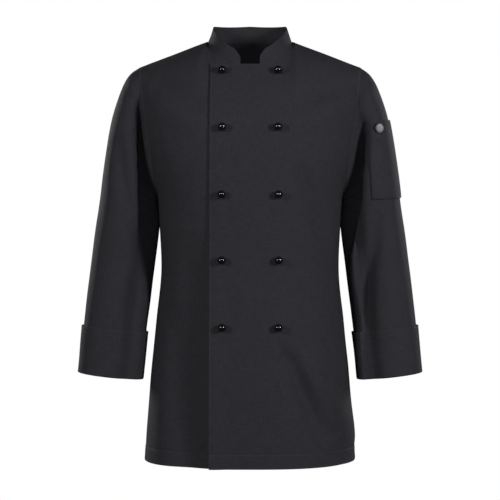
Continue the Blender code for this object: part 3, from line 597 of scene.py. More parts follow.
def armhole_edge(face):
    """The edge of the armhole from the shoulder seam down to the armpit, as close points."""
    turns = np.linspace(0.0, math.pi / 2, 57)
    ups = np.concatenate([np.linspace(2.0, 1.0, 57)[:-1], mix(1.0, ARMPIT_UP, np.sin(turns))])
    return half_at(face, np.ones_like(ups), ups)


ARMHOLE = {face: armhole_edge(face) for face in ("front", "back")}


def along_line(points, share):
    """The points at shares of a line's length."""
    lengths = np.concatenate([[0.0], np.cumsum(np.linalg.norm(np.diff(points, axis=0), axis=1))])
    return np.stack([np.interp(share * lengths[-1], lengths, points[:, k]) for k in range(3)], axis=-1)


def section_at(at, angle):
    """Points of the left sleeve's plain tube. The angle is 0 outside and 90 in front."""
    inner = stack(read(SLEEVE, at, "in_x"), 0.0, read(SLEEVE, at, "in_z"))
    outer = stack(read(SLEEVE, at, "out_x"), 0.0, read(SLEEVE, at, "out_z"))
    centre = (inner + outer) / 2
    centre[..., 1] = read(SLEEVE, at, "middle")
    square = read(SLEEVE, at, "square")
    along, forward = np.cos(angle), np.sin(angle)
    reach = (np.abs(along) ** square + np.abs(forward) ** square) ** (-1.0 / square)
    depth = np.where(forward > 0.0, read(SLEEVE, at, "front"), read(SLEEVE, at, "back"))
    points = centre + (outer - inner) / 2 * (reach * along)[..., None]
    points[..., 1] -= depth * reach * forward
    return points


def tube_at(at, angle):
    """Points of the left sleeve: the plain tube, led into the armhole's own edge at the top."""
    at, angle = np.broadcast_arrays(np.asarray(at, float), np.asarray(angle, float))
    turn = np.mod(angle, 2 * math.pi)
    share = np.where(turn <= math.pi, turn / math.pi, 2.0 - turn / math.pi)
    front = along_line(ARMHOLE["front"], share)
    back = along_line(ARMHOLE["back"], share)
    edge = np.where((turn <= math.pi)[..., None], front, back)
    left_over = edge - section_at(np.zeros_like(at), angle)
    return section_at(at, angle) + left_over * (1.0 - smooth(at / ARMHOLE_FADE))[..., None]


def tube_normal(at, angle):
    below, above = np.clip(at + TUBE_STEP, 0, SLEEVE_END), np.clip(at - TUBE_STEP, 0, SLEEVE_END)
    down = tube_at(below, angle) - tube_at(above, angle)
    round_it = tube_at(at, angle + TUBE_STEP) - tube_at(at, angle - TUBE_STEP)
    return unit(np.cross(round_it, down))


SLEEVE_PIECE = {1: "sleeve_left", -1: "sleeve_right"}


def tucked(points, normals, share=1.0):
    """A grid with its first row run on under the next panel, as a seam allowance."""
    share = np.broadcast_to(share, points.shape[1])[:, None]
    onwards = unit(points[0] - points[1])
    first = points[0] + (onwards * TUCK - normals[0] * TUCK_IN) * share + onwards * 1e-5
    return np.concatenate([first[None], points])


def sleeve_at(side, at, angle, out=0.0):
    """Points of a sleeve's outer face, moved out by `out`. `side` is 1 for the left, -1 right."""
    at, angle = np.broadcast_arrays(np.asarray(at, float), np.asarray(angle, float))
    points = tube_at(at, angle)
    normals = tube_normal(at, angle)
    mirror = np.array([side, 1.0, 1.0])
    piece = SLEEVE_PIECE[side]
    places = np.stack([at, np.degrees(np.mod(angle, 2 * math.pi))], axis=-1)
    folds = fold_depth(piece, places)
    worn = creases_at(piece, points * mirror, normals * mirror)
    worn = worn + unevenness(points, SOFTNESS, SOFT_WAVE, 11.0 * side)
    from_seam = np.linalg.norm(points - tube_at(np.zeros_like(at), angle), axis=-1)
    moved = (folds + worn) * smooth(from_seam / SEAM_FADE) + out
    return (points + normals * moved[..., None]) * mirror


# ---------------------------------------------------------------- meshes


def grain_of(points, ring):
    """Each point's place in the cloth, in metres along the weft and the warp."""
    if ring:
        points = np.concatenate([points, points[:, :1]], axis=1)
    across = np.linalg.norm(np.diff(points, axis=1), axis=-1)
    down = np.linalg.norm(np.diff(points, axis=0), axis=-1)
    u = np.concatenate([np.zeros((len(points), 1)), np.cumsum(across, axis=1)], axis=1)
    v = np.concatenate([np.zeros((1, points.shape[1])), np.cumsum(down, axis=0)], axis=0)
    middle = u[:, points.shape[1] // 2]
    return np.stack([u - middle[:, None], v], axis=-1)


def grid_mesh(name, points, ring=False, flip=False):
    """An open shell of quads over a grid of points, with its grain as a UV map."""
    rows, columns = points.shape[:2]
    index = np.arange(rows * columns).reshape(rows, columns)
    last = columns if ring else columns - 1
    left = np.arange(last)
    right = (left + 1) % columns
    corners = [index[:-1][:, left], index[:-1][:, right], index[1:][:, right], index[1:][:, left]]
    grain = grain_of(points, ring)
    after = left + 1
    maps = [grain[:-1][:, left], grain[:-1][:, after], grain[1:][:, after], grain[1:][:, left]]
    if flip:
        corners.reverse()
        maps.reverse()
    quads = np.stack(corners, axis=-1).reshape(-1, 4)
    mesh = bpy.data.meshes.new(name)
    mesh.from_pydata(points.reshape(-1, 3).tolist(), [], quads.tolist())
    layer = mesh.uv_layers.new(name="grain")
    layer.data.foreach_set("uv", np.stack(maps, axis=2).reshape(-1).astype(np.float32))
    mesh.shade_smooth()
    return mesh


def add_piece(name, mesh, material, nodes=()):
    """Links a finished piece, rides it on the only body and hides the nodes that it stands for."""
    obj = bpy.data.objects.new(name, mesh)
    bpy.context.scene.collection.objects.link(obj)
    if material is not None:
        mesh.materials.clear()
        mesh.materials.append(material)
    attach(obj, "root")
    if nodes:
        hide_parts(*nodes)
    return obj


def settled(obj):
    """Applies an object's modifiers and gives back the plain mesh, with the object removed."""
    bpy.context.view_layer.update()
    graph = bpy.context.evaluated_depsgraph_get()
    mesh = bpy.data.meshes.new_from_object(obj.evaluated_get(graph))
    bpy.data.objects.remove(obj, do_unlink=True)
    return mesh


def cloth_shell(name, points, wall, edge, ring=False, flip=False):
    """A cloth wall inside a grid of points, with soft edges."""
    obj = bpy.data.objects.new(name, grid_mesh(name, points, ring, flip))
    bpy.context.scene.collection.objects.link(obj)
    solid = obj.modifiers.new("wall", "SOLIDIFY")
    solid.thickness = wall
    solid.offset = -1.0
    bevel = obj.modifiers.new("edges", "BEVEL")
    bevel.width = edge
    bevel.segments = 2
    bevel.limit_method = "ANGLE"
    bevel.angle_limit = math.radians(60)
    mesh = settled(obj)
    mesh.name = name
    mesh.shade_smooth()
    mesh.set_sharp_from_angle(angle=math.radians(55))
    return mesh


def add_cloth(node, points, wall, edge, **shape):
    """The cloth shell that stands for a node, linked and painted."""
    mesh = cloth_shell(node + "_cloth", points, wall, edge, **shape)
    return add_piece(node + "_cloth", mesh, material_named("twill"), (node,))


# ---------------------------------------------------------------- shader groups


def new_group(name, sockets):
    """A shader group with its sockets, as (direction, type, name, default) rows."""
    tree = bpy.data.node_groups.new(name, "ShaderNodeTree")
    for direction, kind, label, default in sockets:
        socket = tree.interface.new_socket(label, in_out=direction, socket_type=f"NodeSocket{kind}")
        if default is not None:
            socket.default_value = default
    return tree, tree.nodes.new("NodeGroupInput"), tree.nodes.new("NodeGroupOutput")


def math_node(tree, operation, first, second=None):
    node = tree.nodes.new("ShaderNodeMath")
    node.operation = operation
    for socket, value in zip(node.inputs, (first, second)):
        if isinstance(value, bpy.types.NodeSocket):
            tree.links.new(value, socket)
        elif value is not None:
            socket.default_value = value
    return node.outputs[0]


def wave_along(tree, vector, direction, pitch):
    """A sine wave of a pitch along a direction of the grain."""
    dot = tree.nodes.new("ShaderNodeVectorMath")
    dot.operation = "DOT_PRODUCT"
    tree.links.new(vector, dot.inputs[0])
    dot.inputs[1].default_value = (*direction, 0.0)
    turns = math_node(tree, "DIVIDE", dot.outputs["Value"], pitch)
    return math_node(tree, "SINE", math_node(tree, "MULTIPLY", turns, 2 * math.pi))


def noise_at(tree, vector, scale, detail=2.0, stretch=None):
    if stretch is not None:
        mapping = tree.nodes.new("ShaderNodeMapping")
        mapping.inputs["Scale"].default_value = stretch
        tree.links.new(vector, mapping.inputs["Vector"])
        vector = mapping.outputs["Vector"]
    node = tree.nodes.new("ShaderNodeTexNoise")
    node.inputs["Scale"].default_value = scale
    node.inputs["Detail"].default_value = detail
    tree.links.new(vector, node.inputs["Vector"])
    return node.outputs["Fac"]


def twill_group():
    """The raised diagonal lines of a twill, its yarns' slubs, and a slow change of tone."""
    tree, inlet, outlet = new_group(
        "twill_weave",
        (
            ("INPUT", "Vector", "Grain", None),
            ("INPUT", "Float", "Pitch", 0.0009),
            ("INPUT", "Float", "Slub", 0.35),
            ("INPUT", "Float", "Mottle", 0.16),
            ("INPUT", "Float", "Streaks", 0.45),
            ("OUTPUT", "Float", "Height", None),
            ("OUTPUT", "Float", "Tone", None),
        ),
    )
    grain, pitch = inlet.outputs["Grain"], inlet.outputs["Pitch"]
    ribs = wave_along(tree, grain, (math.sin(TWILL_RISE), -math.cos(TWILL_RISE)), pitch)
    yarns = wave_along(tree, grain, (math.cos(TWILL_RISE), math.sin(TWILL_RISE)), pitch)
    weave = math_node(tree, "ADD", ribs, math_node(tree, "MULTIPLY", yarns, 0.35))
    slubs = noise_at(tree, grain, 900.0, 1.0, (1.0, 0.12, 1.0))
    slubs = math_node(tree, "MULTIPLY", slubs, inlet.outputs["Slub"])
    tree.links.new(math_node(tree, "ADD", weave, slubs), outlet.inputs["Height"])
    cloudy = math_node(tree, "SUBTRACT", noise_at(tree, grain, 38.0, 4.0), 0.5)
    cloudy = math_node(tree, "MULTIPLY", cloudy, inlet.outputs["Mottle"])
    weft = math_node(tree, "SUBTRACT", noise_at(tree, grain, 420.0, 2.0, (0.16, 1.0, 1.0)), 0.5)
    warp = math_node(tree, "SUBTRACT", noise_at(tree, grain, 420.0, 2.0, (1.0, 0.16, 1.0)), 0.5)
    streaks = math_node(tree, "MULTIPLY", math_node(tree, "ADD", weft, warp), inlet.outputs["Streaks"])
    lines = math_node(tree, "ADD", math_node(tree, "MULTIPLY", ribs, 0.05), streaks)
    tone = math_node(tree, "ADD", math_node(tree, "ADD", cloudy, lines), 1.0)
    tree.links.new(tone, outlet.inputs["Tone"])
    return tree


def wear_and_sheen_group():
    """A mask of paler places, from how far an edge or ridge stands out, broken by noise: partly rubbed wear,
    partly a painted sheen along edges and ridges.
    """
    tree, inlet, outlet = new_group(
        "rubbed_and_sheen_edges",
        (
            ("INPUT", "Vector", "Place", None),
            ("INPUT", "Float", "Amount", 0.5),
            ("OUTPUT", "Float", "Mask", None),
        ),
    )
    geometry = tree.nodes.new("ShaderNodeNewGeometry")
    # edges and ridges that stand out are made paler: rubbed wear, with a painted sheen along them
    out = math_node(tree, "MULTIPLY", math_node(tree, "SUBTRACT", geometry.outputs["Pointiness"], 0.51), 9.0)
    rough = noise_at(tree, inlet.outputs["Place"], 260.0, 3.0)
    mask = math_node(tree, "MULTIPLY", math_node(tree, "MAXIMUM", out, 0.0), rough)
    mask = math_node(tree, "MINIMUM", math_node(tree, "MULTIPLY", mask, inlet.outputs["Amount"]), 1.0)
    tree.links.new(mask, outlet.inputs["Mask"])
    return tree


def group_node(tree, group, **values):
    node = tree.nodes.new("ShaderNodeGroup")
    node.node_tree = group
    for label, value in values.items():
        node.inputs[label].default_value = value
    return node


def new_material(name, colour, roughness, metallic=0.0):
    material = bpy.data.materials.new(name)
    material.use_nodes = True
    material.diffuse_color = (*colour, 1.0)
    tree = material.node_tree
    shader = tree.nodes["Principled BSDF"]
    shader.inputs["Base Color"].default_value = (*colour, 1.0)
    shader.inputs["Roughness"].default_value = roughness
    shader.inputs["Metallic"].default_value = metallic
    return material, tree, shader


def tinted(tree, colour, tone):
    """The colour, made lighter or darker by a tone round 1."""
    node = tree.nodes.new("ShaderNodeVectorMath")
    node.operation = "SCALE"
    node.inputs[0].default_value = colour
    tree.links.new(tone, node.inputs["Scale"])
    return node.outputs["Vector"]


def bumped(tree, height, distance, strength=1.0):
    node = tree.nodes.new("ShaderNodeBump")
    node.inputs["Strength"].default_value = strength
    node.inputs["Distance"].default_value = distance
    tree.links.new(height, node.inputs["Height"])
    return node.outputs["Normal"]


def twill_material(name, colour, pitch, groups):
    """Black twill: diagonal ribs, a faint change of tone, and paler edges and ridges, partly rubbed wear and
    partly painted sheen.
    """
    material, tree, shader = new_material(name, colour, 0.82)
    grain = tree.nodes.new("ShaderNodeUVMap")
    grain.uv_map = "grain"
    weave = group_node(tree, groups["twill"], Pitch=pitch)
    tree.links.new(grain.outputs["UV"], weave.inputs["Grain"])
    place = tree.nodes.new("ShaderNodeTexCoord")
    wear_and_sheen = group_node(tree, groups["wear_and_sheen"], Amount=0.6)
    tree.links.new(place.outputs["Object"], wear_and_sheen.inputs["Place"])
    # painted sheen and rubbed wear: edges and ridges that stand out lighten the cloth's colour
    rubbed_and_sheen = math_node(tree, "MULTIPLY", wear_and_sheen.outputs["Mask"], 0.5)
    tone = math_node(tree, "ADD", weave.outputs["Tone"], rubbed_and_sheen)
    tree.links.new(tinted(tree, colour, tone), shader.inputs["Base Color"])
    tree.links.new(bumped(tree, weave.outputs["Height"], 0.00006, 0.6), shader.inputs["Normal"])
    shader.inputs["Specular IOR Level"].default_value = 0.12
    return material


def thread_material(colour):
    """Twisted black thread, a little shinier than the cloth."""
    material, tree, shader = new_material("black_thread", colour, 0.5)
    place = tree.nodes.new("ShaderNodeTexCoord")
    twist = noise_at(tree, place.outputs["Object"], 2600.0, 2.0)
    tone = math_node(tree, "ADD", math_node(tree, "MULTIPLY", twist, 0.5), 0.75)
    tree.links.new(tinted(tree, colour, tone), shader.inputs["Base Color"])
    tree.links.new(bumped(tree, twist, 0.0001, 0.5), shader.inputs["Normal"])
    return material


def stud_material(colour):
    """Polished black plastic with the faint unevenness of moulding."""
    material, tree, shader = new_material("polished_black_plastic", colour, 0.10)
    place = tree.nodes.new("ShaderNodeTexCoord")
    uneven = noise_at(tree, place.outputs["Object"], 320.0, 3.0)
    rough = math_node(tree, "ADD", math_node(tree, "MULTIPLY", uneven, 0.10), 0.07)
    tree.links.new(rough, shader.inputs["Roughness"])
    tree.links.new(bumped(tree, uneven, 0.00004, 0.4), shader.inputs["Normal"])
    shader.inputs["Coat Weight"].default_value = 0.5
    shader.inputs["Coat Roughness"].default_value = 0.06
    return material


def badge_material(name, colour, roughness, metallic):
    """Surface of the badge, with a fine noise in its gloss and in its bump."""
    material, tree, shader = new_material(name, colour, roughness, metallic)
    place = tree.nodes.new("ShaderNodeTexCoord")
    fine = noise_at(tree, place.outputs["Object"], 1500.0, 3.0)
    rough = math_node(tree, "ADD", math_node(tree, "MULTIPLY", fine, 0.18), roughness - 0.09)
    tree.links.new(rough, shader.inputs["Roughness"])
    tree.links.new(bumped(tree, fine, 0.00003, 0.5), shader.inputs["Normal"])
    return material


MATERIALS = {}


def material_named(name):
    """The jacket's materials, made once from the scene's settings."""
    if not MATERIALS:
        cloth = bpy.context.scene.jacket_cloth
        colour = tuple(cloth.colour)
        # the second group paints a sheen along edges and ridges, together with their rubbed wear
        groups = {"twill": twill_group(), "wear_and_sheen": wear_and_sheen_group()}
        MATERIALS["twill"] = twill_material("black_twill", colour, cloth.weave_pitch, groups)
        MATERIALS["thread"] = thread_material(tuple(bpy.context.scene.jacket_stitching.colour))
        MATERIALS["stud"] = stud_material(tuple(bpy.context.scene.jacket_studs.colour))
        MATERIALS["badge_disc"] = badge_material("badge_pale_disc", (0.19, 0.19, 0.20), 0.42, 0.0)
        MATERIALS["badge_ring"] = badge_material("badge_dark_ring", (0.004, 0.004, 0.004), 0.35, 0.0)
    return MATERIALS[name]


# ---------------------------------------------------------------- thread by Geometry Nodes

THREAD_SOCKETS = (
    ("Pitch", "Float", 0.0032),
    ("Along", "Float", 0.0024),
    ("Across", "Float", 0.0005),
    ("High", "Float", 0.0004),
    ("Thread", "Material", None),
)


def thread_tree():
    """Geometry Nodes: a rounded stitch at even places along every line, lying on the cloth."""
    tree = bpy.data.node_groups.new("row_of_stitches", "GeometryNodeTree")
    tree.interface.new_socket("Geometry", in_out="INPUT", socket_type="NodeSocketGeometry")
    for label, kind, default in THREAD_SOCKETS:
        socket = tree.interface.new_socket(label, in_out="INPUT", socket_type=f"NodeSocket{kind}")
        if default is not None:
            socket.default_value = default
    tree.interface.new_socket("Geometry", in_out="OUTPUT", socket_type="NodeSocketGeometry")
    new, link = tree.nodes.new, tree.links.new
    inlet, outlet = new("NodeGroupInput"), new("NodeGroupOutput")

    curve = new("GeometryNodeMeshToCurve")
    link(inlet.outputs["Geometry"], curve.inputs["Mesh"])
    even = new("GeometryNodeResampleCurve")
    even.mode = "LENGTH"
    link(curve.outputs["Curve"], even.inputs["Curve"])
    link(inlet.outputs["Pitch"], even.inputs["Length"])

    lying = new("FunctionNodeAlignRotationToVector")
    lying.axis = "X"
    tangent = new("GeometryNodeInputTangent")
    link(tangent.outputs["Tangent"], lying.inputs["Vector"])
    facing = new("FunctionNodeAlignRotationToVector")
    facing.axis = "Z"
    facing.pivot_axis = "X"
    link(lying.outputs["Rotation"], facing.inputs["Rotation"])
    outward = new("GeometryNodeInputNamedAttribute")
    outward.data_type = "FLOAT_VECTOR"
    outward.inputs["Name"].default_value = "outward"
    link(outward.outputs["Attribute"], facing.inputs["Vector"])

    stitch = new("GeometryNodeMeshUVSphere")
    stitch.inputs["Segments"].default_value = 6
    stitch.inputs["Rings"].default_value = 4
    stitch.inputs["Radius"].default_value = 0.5
    size = new("ShaderNodeCombineXYZ")
    for socket, label in zip(size.inputs, ("Along", "Across", "High")):
        link(inlet.outputs[label], socket)
    copies = new("GeometryNodeInstanceOnPoints")
    link(even.outputs["Curve"], copies.inputs["Points"])
    link(stitch.outputs["Mesh"], copies.inputs["Instance"])
    link(facing.outputs["Rotation"], copies.inputs["Rotation"])
    link(size.outputs["Vector"], copies.inputs["Scale"])

    real = new("GeometryNodeRealizeInstances")
    link(copies.outputs["Instances"], real.inputs["Geometry"])
    painted = new("GeometryNodeSetMaterial")
    link(real.outputs["Geometry"], painted.inputs["Geometry"])
    link(inlet.outputs["Thread"], painted.inputs["Material"])
    link(painted.outputs["Geometry"], outlet.inputs["Geometry"])
    return tree


def lines_mesh(name, lines):
    """Loose lines, each as (points, outward directions), for the thread tree to follow."""
    points = np.concatenate([line[0] for line in lines])
    outward = np.concatenate([line[1] for line in lines])
    edges = []
    start = 0
    for line, _ in lines:
        edges += [(start + i, start + i + 1) for i in range(len(line) - 1)]
        start += len(line)
    mesh = bpy.data.meshes.new(name)
    mesh.from_pydata(points.tolist(), edges, [])
    attribute = mesh.attributes.new("outward", "FLOAT_VECTOR", "POINT")
    attribute.data.foreach_set("vector", outward.reshape(-1).astype(np.float32))
    return mesh


def sew(name, lines, pitch, along, across, high):
    """One piece of thread along all the lines, as a plain mesh."""
    tree = bpy.data.node_groups.get("row_of_stitches") or thread_tree()
    obj = bpy.data.objects.new(name, lines_mesh(name, lines))
    bpy.context.scene.collection.objects.link(obj)
    modifier = obj.modifiers.new("stitches", "NODES")
    modifier.node_group = tree
    values = {"Pitch": pitch, "Along": along, "Across": across, "High": high}
    values["Thread"] = material_named("thread")
    for item in tree.interface.items_tree:
        if item.item_type == "SOCKET" and item.in_out == "INPUT" and item.name in values:
            modifier[item.identifier] = values[item.name]
    mesh = settled(obj)
    mesh.name = name
    mesh.shade_smooth()
    return add_piece(name, mesh, None)


def line_on(surface, first, second, out=0.0001):
    """A line on a surface with its outward directions. `surface(u, v, out)` gives points."""
    first, second = np.broadcast_arrays(np.asarray(first, float), np.asarray(second, float))
    low = surface(first, second, 0.0)
    high = surface(first, second, 0.001)
    outward = unit(high - low)
    return low + outward * out, outward


# ---------------------------------------------------------------- settings


class JacketCloth(bpy.types.PropertyGroup):
    """The cloth of every panel."""

    wall: FloatProperty(
        name="Wall", description="Thickness of a panel", default=0.0015, min=0.0005, unit="LENGTH"
    )
    spacing: FloatProperty(
        name="Mesh spacing",
        description="Size of the faces of a panel",
        default=0.004,
        min=0.002,
        unit="LENGTH",
    )
    edge: FloatProperty(
        name="Edge", description="How far the edges of a panel are rounded", default=0.0004, unit="LENGTH"
    )
    crease_share: FloatProperty(
        name="Creases", description="Share of the creases' full depth", default=1.0, min=0.0, subtype="FACTOR"
    )
    weave_pitch: FloatProperty(
        name="Weave pitch", description="From one twill line to the next", default=0.0009, unit="LENGTH"
    )
    colour: FloatVectorProperty(
        name="Colour", description="Colour of the cloth", default=(0.0290, 0.0280, 0.0335), subtype="COLOR"
    )


class JacketStitching(bpy.types.PropertyGroup):
    """The thread that sews the panels."""

    pitch: FloatProperty(
        name="Pitch", description="From one stitch to the next", default=0.0031, min=0.0005, unit="LENGTH"
    )
    length: FloatProperty(name="Length", description="Length of a stitch", default=0.0025, unit="LENGTH")
    thick: FloatProperty(
        name="Thickness", description="Thickness of the thread", default=0.0004, unit="LENGTH"
    )
    colour: FloatVectorProperty(
        name="Colour", description="Colour of the thread", default=(0.024, 0.0235, 0.027), subtype="COLOR"
    )


class JacketStuds(bpy.types.PropertyGroup):
    """The ball studs and their buttonholes."""

    ball: FloatProperty(
        name="Ball radius", description="Radius of a stud's ball", default=0.0070, unit="LENGTH"
    )
    segments: IntProperty(name="Segments", description="Faces round a ball", default=32, min=12)
    hole_length: FloatProperty(
        name="Buttonhole", description="Length of a buttonhole", default=0.021, unit="LENGTH"
    )
    colour: FloatVectorProperty(
        name="Colour", description="Colour of the studs", default=(0.006, 0.006, 0.007), subtype="COLOR"
    )


class JacketStage(bpy.types.PropertyGroup):
    """The floor, the lights and the camera."""

    distance: FloatProperty(
        name="Camera distance",
        description="From the camera to the jacket's middle",
        default=2.3,
        unit="LENGTH",
    )
    level: FloatProperty(
        name="Camera level", description="Height of the camera", default=-0.3735, unit="LENGTH"
    )
    lens: FloatProperty(name="Lens", description="Focal length in millimetres", default=92.0)
    floor: FloatProperty(
        name="Floor", description="Level of the floor under a standing wearer", default=-1.42, unit="LENGTH"
    )
    key_power: FloatProperty(name="Softbox", description="Power of the right softbox in front", default=39.0)
    left_share: FloatProperty(
        name="Left softbox",
        description="Power of the left softbox, as a share of the right one's",
        default=0.62,
    )
    fill_share: FloatProperty(
        name="Fill", description="Power of the middle light, as a share of the softbox's", default=0.40
    )
    back_power: FloatProperty(name="Back softbox", description="Power of the softbox behind", default=39.0)
    ambient: FloatProperty(name="Ambient", description="Strength of the even light", default=0.02)


# ---------------------------------------------------------------- operators


def panel_rows(spacing):
    """Rows of a panel, from the hem up, closer where the hem is stitched."""
    low = YOKE_Z - HEM_Z
    rows = np.linspace(0.0, 1.0, int(round(1.0 / (spacing / low))) + 1) * low
    rows = np.unique(np.concatenate([rows, HEM_FOLD + STITCH_ROWS, [HEM_STEP]])) / low
    rows = rows[np.concatenate([[True], np.diff(rows) > 1e-4])]
    over = np.linspace(1.0, 2.0, int(YOKE_REACH / spacing) + 1)[1:]
    top = 2.0 - (TOP_STITCH - STITCH_ROWS) / LAP_REACH
    over = np.unique(np.concatenate([over, top]))
    return np.concatenate([rows, over])


class JACKET_OT_fronts(bpy.types.Operator):
    """Builds the two fronts, the left one lying over the right one"""

    bl_idname = "jacket.fronts"
    bl_label = "Fronts"

    def execute(self, context):
        cloth = context.scene.jacket_cloth
        rows = panel_rows(cloth.spacing)
        step = LAP_SHARE * cloth.spacing / LAP
        side = np.linspace(LAP_SHARE, 1.0, int(HALF_REACH / cloth.spacing))
        lap = np.arange(0.0, LAP_SHARE - step / 2, step)
        half = np.unique(np.concatenate([lap, side]))
        edge = LAP_SHARE * (1.0 - (EDGE_STITCH + STITCH_ROWS) / LAP)
        fine = np.unique(np.concatenate([lap, edge, [LAP_SHARE * 0.985, LAP_SHARE]]))
        left = np.concatenate([-fine[::-1][:-1], half])
        right = np.concatenate([-half[::-1], np.append(lap[1:], LAP_SHARE)])
        for piece, columns, past in (("front_left", left, -1), ("front_right", right, 1)):
            across, up = np.meshgrid(columns, rows)
            up = past_centre(across, up, past)
            points = panel_at(piece, across, up)
            obj = add_cloth(piece, points, cloth.wall, cloth.edge)
        return {"FINISHED"}


class JACKET_OT_back(bpy.types.Operator):
    """Builds the back in one piece, from side seam to side seam"""

    bl_idname = "jacket.back"
    bl_label = "Back"

    def execute(self, context):
        cloth = context.scene.jacket_cloth
        columns = np.linspace(-1.0, 1.0, int(BACK_REACH / cloth.spacing) | 1)
        across, up = np.meshgrid(columns, panel_rows(cloth.spacing))
        points = panel_at("back", across, up)
        normals = form_normal("back", across, up)
        shoulder = smooth((np.abs(columns) - NECK_SHARE) / 0.06)
        points = tucked(points[::-1], normals[::-1], shoulder)[::-1]
        normals = np.concatenate([normals, normals[-1:]])
        for _ in range(2):  # each side seam in turn
            points, normals = points[:, ::-1], normals[:, ::-1]
            points = tucked(points.swapaxes(0, 1), normals.swapaxes(0, 1)).swapaxes(0, 1)
            normals = np.concatenate([normals[:, :1], normals], axis=1)
        obj = add_cloth("back", points, cloth.wall, cloth.edge, flip=True)
        return {"FINISHED"}


def sections_per_metre():
    """How many of the sleeve's sections go to a metre of it, next to the cuff's fold."""
    last = np.array([SLEEVE_END, SLEEVE_END - 1.0])
    ends = section_at(last, np.zeros(2))
    return 1.0 / np.linalg.norm(ends[0] - ends[1])


class JACKET_OT_sleeves(bpy.types.Operator):
    """Builds both sleeves, each a tube from its armhole into its cuff"""

    bl_idname = "jacket.sleeves"
    bl_label = "Sleeves"

    def execute(self, context):
        cloth = context.scene.jacket_cloth
        end = SLEEVE_END - CUFF_INNER * sections_per_metre()
        places = np.concatenate([np.linspace(0.0, 7.0, 84)[:-1], np.linspace(7.0, end, 76)])
        angles = np.linspace(0.0, 2 * math.pi, 110, endpoint=False)
        angle, at = np.meshgrid(angles, places)
        for side, piece in SLEEVE_PIECE.items():
            points = sleeve_at(side, at, angle)
            points = tucked(points, tube_normal(at, angle) * np.array([side, 1.0, 1.0]))
            obj = add_cloth(piece, points, cloth.wall, cloth.edge, ring=True, flip=side < 0)
        return {"FINISHED"}


def cuff_path():
    """The cuff's outer face as (place, out): up the inner leaf, round the fold, up the outer leaf."""
    per_metre = sections_per_metre()
    wall = bpy.context.scene.jacket_cloth.wall
    turn = SLEEVE_END - CUFF_TURN * per_metre
    path = [(place, -wall) for place in np.linspace(SLEEVE_END - CUFF_INNER * per_metre, turn, 4)]
    middle = CUFF_LAYER_LOW / 2
    reach = middle + wall
    for angle in np.linspace(-math.pi / 2, math.pi / 2, 9)[1:-1]:
        path.append((turn + 1.25 * reach * math.cos(angle) * per_metre, middle + reach * math.sin(angle)))
    for share in np.linspace(0.0, 1.0, 24):
        place = mix(turn, SLEEVE_END - CUFF_TOP * per_metre, share)
        path.append((place, mix(CUFF_LAYER_LOW, CUFF_LAYER_TOP, share) + wall))
    return np.array(path)


def cuff_at(side, share, angle, out=0.0):
    """Points of the outer leaf of a cuff. `share` runs from 0 at the fold to 1 at the upper edge."""
    per_metre = sections_per_metre()
    wall = bpy.context.scene.jacket_cloth.wall
    place = SLEEVE_END - mix(CUFF_TURN, CUFF_TOP, share) * per_metre
    layer = mix(CUFF_LAYER_LOW, CUFF_LAYER_TOP, share) + wall
    return sleeve_at(side, place, angle, layer + out)


class JACKET_OT_cuffs(bpy.types.Operator):
    """Builds both turned-back cuffs"""

    bl_idname = "jacket.cuffs"
    bl_label = "Cuffs"

    def execute(self, context):
        cloth = context.scene.jacket_cloth
        path = cuff_path()
        angles = np.linspace(0.0, 2 * math.pi, 110, endpoint=False)
        angle, at = np.meshgrid(angles, path[:, 0])
        out = np.broadcast_to(path[:, 1:2], at.shape)
        for side, name, arm in ((1, "cuff_left", "sleeve_left"), (-1, "cuff_right", "sleeve_right")):
            points = sleeve_at(side, at, angle, out)
            obj = add_cloth(name, points, cloth.wall, cloth.edge, ring=True, flip=side > 0)
        return {"FINISHED"}


def collar_feet(count=70):
    """The collar's feet round the neck, from its left end to its right end, and their angles."""
    front = np.linspace(COLLAR_START, NECK_SHARE, count)
    back = np.linspace(NECK_SHARE, 0.0, count)[1:]
    top = np.full_like(front, 2.0)
    lap = form_normal("front", front, top) * lap_offset(front, top)[:, None]
    left = form_at("front", front, top)
    right = form_at("front", -front, top)
    rear = form_at("back", back, np.full_like(back, 2.0))
    rear_right = form_at("back", -back[::-1][1:], np.full_like(back[1:], 2.0))
    feet = np.concatenate([left + lap, rear, rear_right, right[::-1]])
    front_turn, back_turn = neck_turn("front", front), neck_turn("back", back)
    turns = [front_turn, back_turn, 2 * math.pi - back_turn[::-1][1:], 2 * math.pi - front_turn[::-1]]
    return feet, np.concatenate(turns)


def collar_at(place, share, out=0.0):
    """Points of the collar's outer face: `place` from 0 to 1 round the neck, `share` up it."""
    feet, turns = collar_feet()
    steps = np.concatenate([[0.0], np.cumsum(np.linalg.norm(np.diff(feet, axis=0), axis=1))])
    where = np.asarray(place, float) * steps[-1]
    foot = np.stack([np.interp(where, steps, feet[:, k]) for k in range(3)], axis=-1)
    turn = np.interp(where, steps, turns)
    half = np.degrees(np.where(turn <= math.pi, turn, 2 * math.pi - turn))
    inwards = unit(stack(-np.sin(turn) * NECK_X, np.cos(turn) * NECK_FRONT, 0.0))
    rise = inwards * read(NECKLINE, half, "lean")[..., None]
    rise[..., 2] += read(NECKLINE, half, "rise")
    tangents = np.gradient(feet, steps, axis=0)
    tangent = np.stack([np.interp(where, steps, tangents[:, k]) for k in range(3)], axis=-1)
    outward = unit(np.cross(tangent, rise))
    height = np.linalg.norm(rise, axis=-1)
    from_end = np.minimum(where, steps[-1] - where)
    inset = np.clip(COLLAR_ROUND - from_end, 0.0, COLLAR_ROUND)
    height = height - COLLAR_CUT * (COLLAR_ROUND - np.sqrt(COLLAR_ROUND**2 - inset**2))
    up = np.asarray(share, float) * height + COLLAR_REST
    return foot + unit(rise) * up[..., None] + outward * np.asarray(out, float)[..., None]


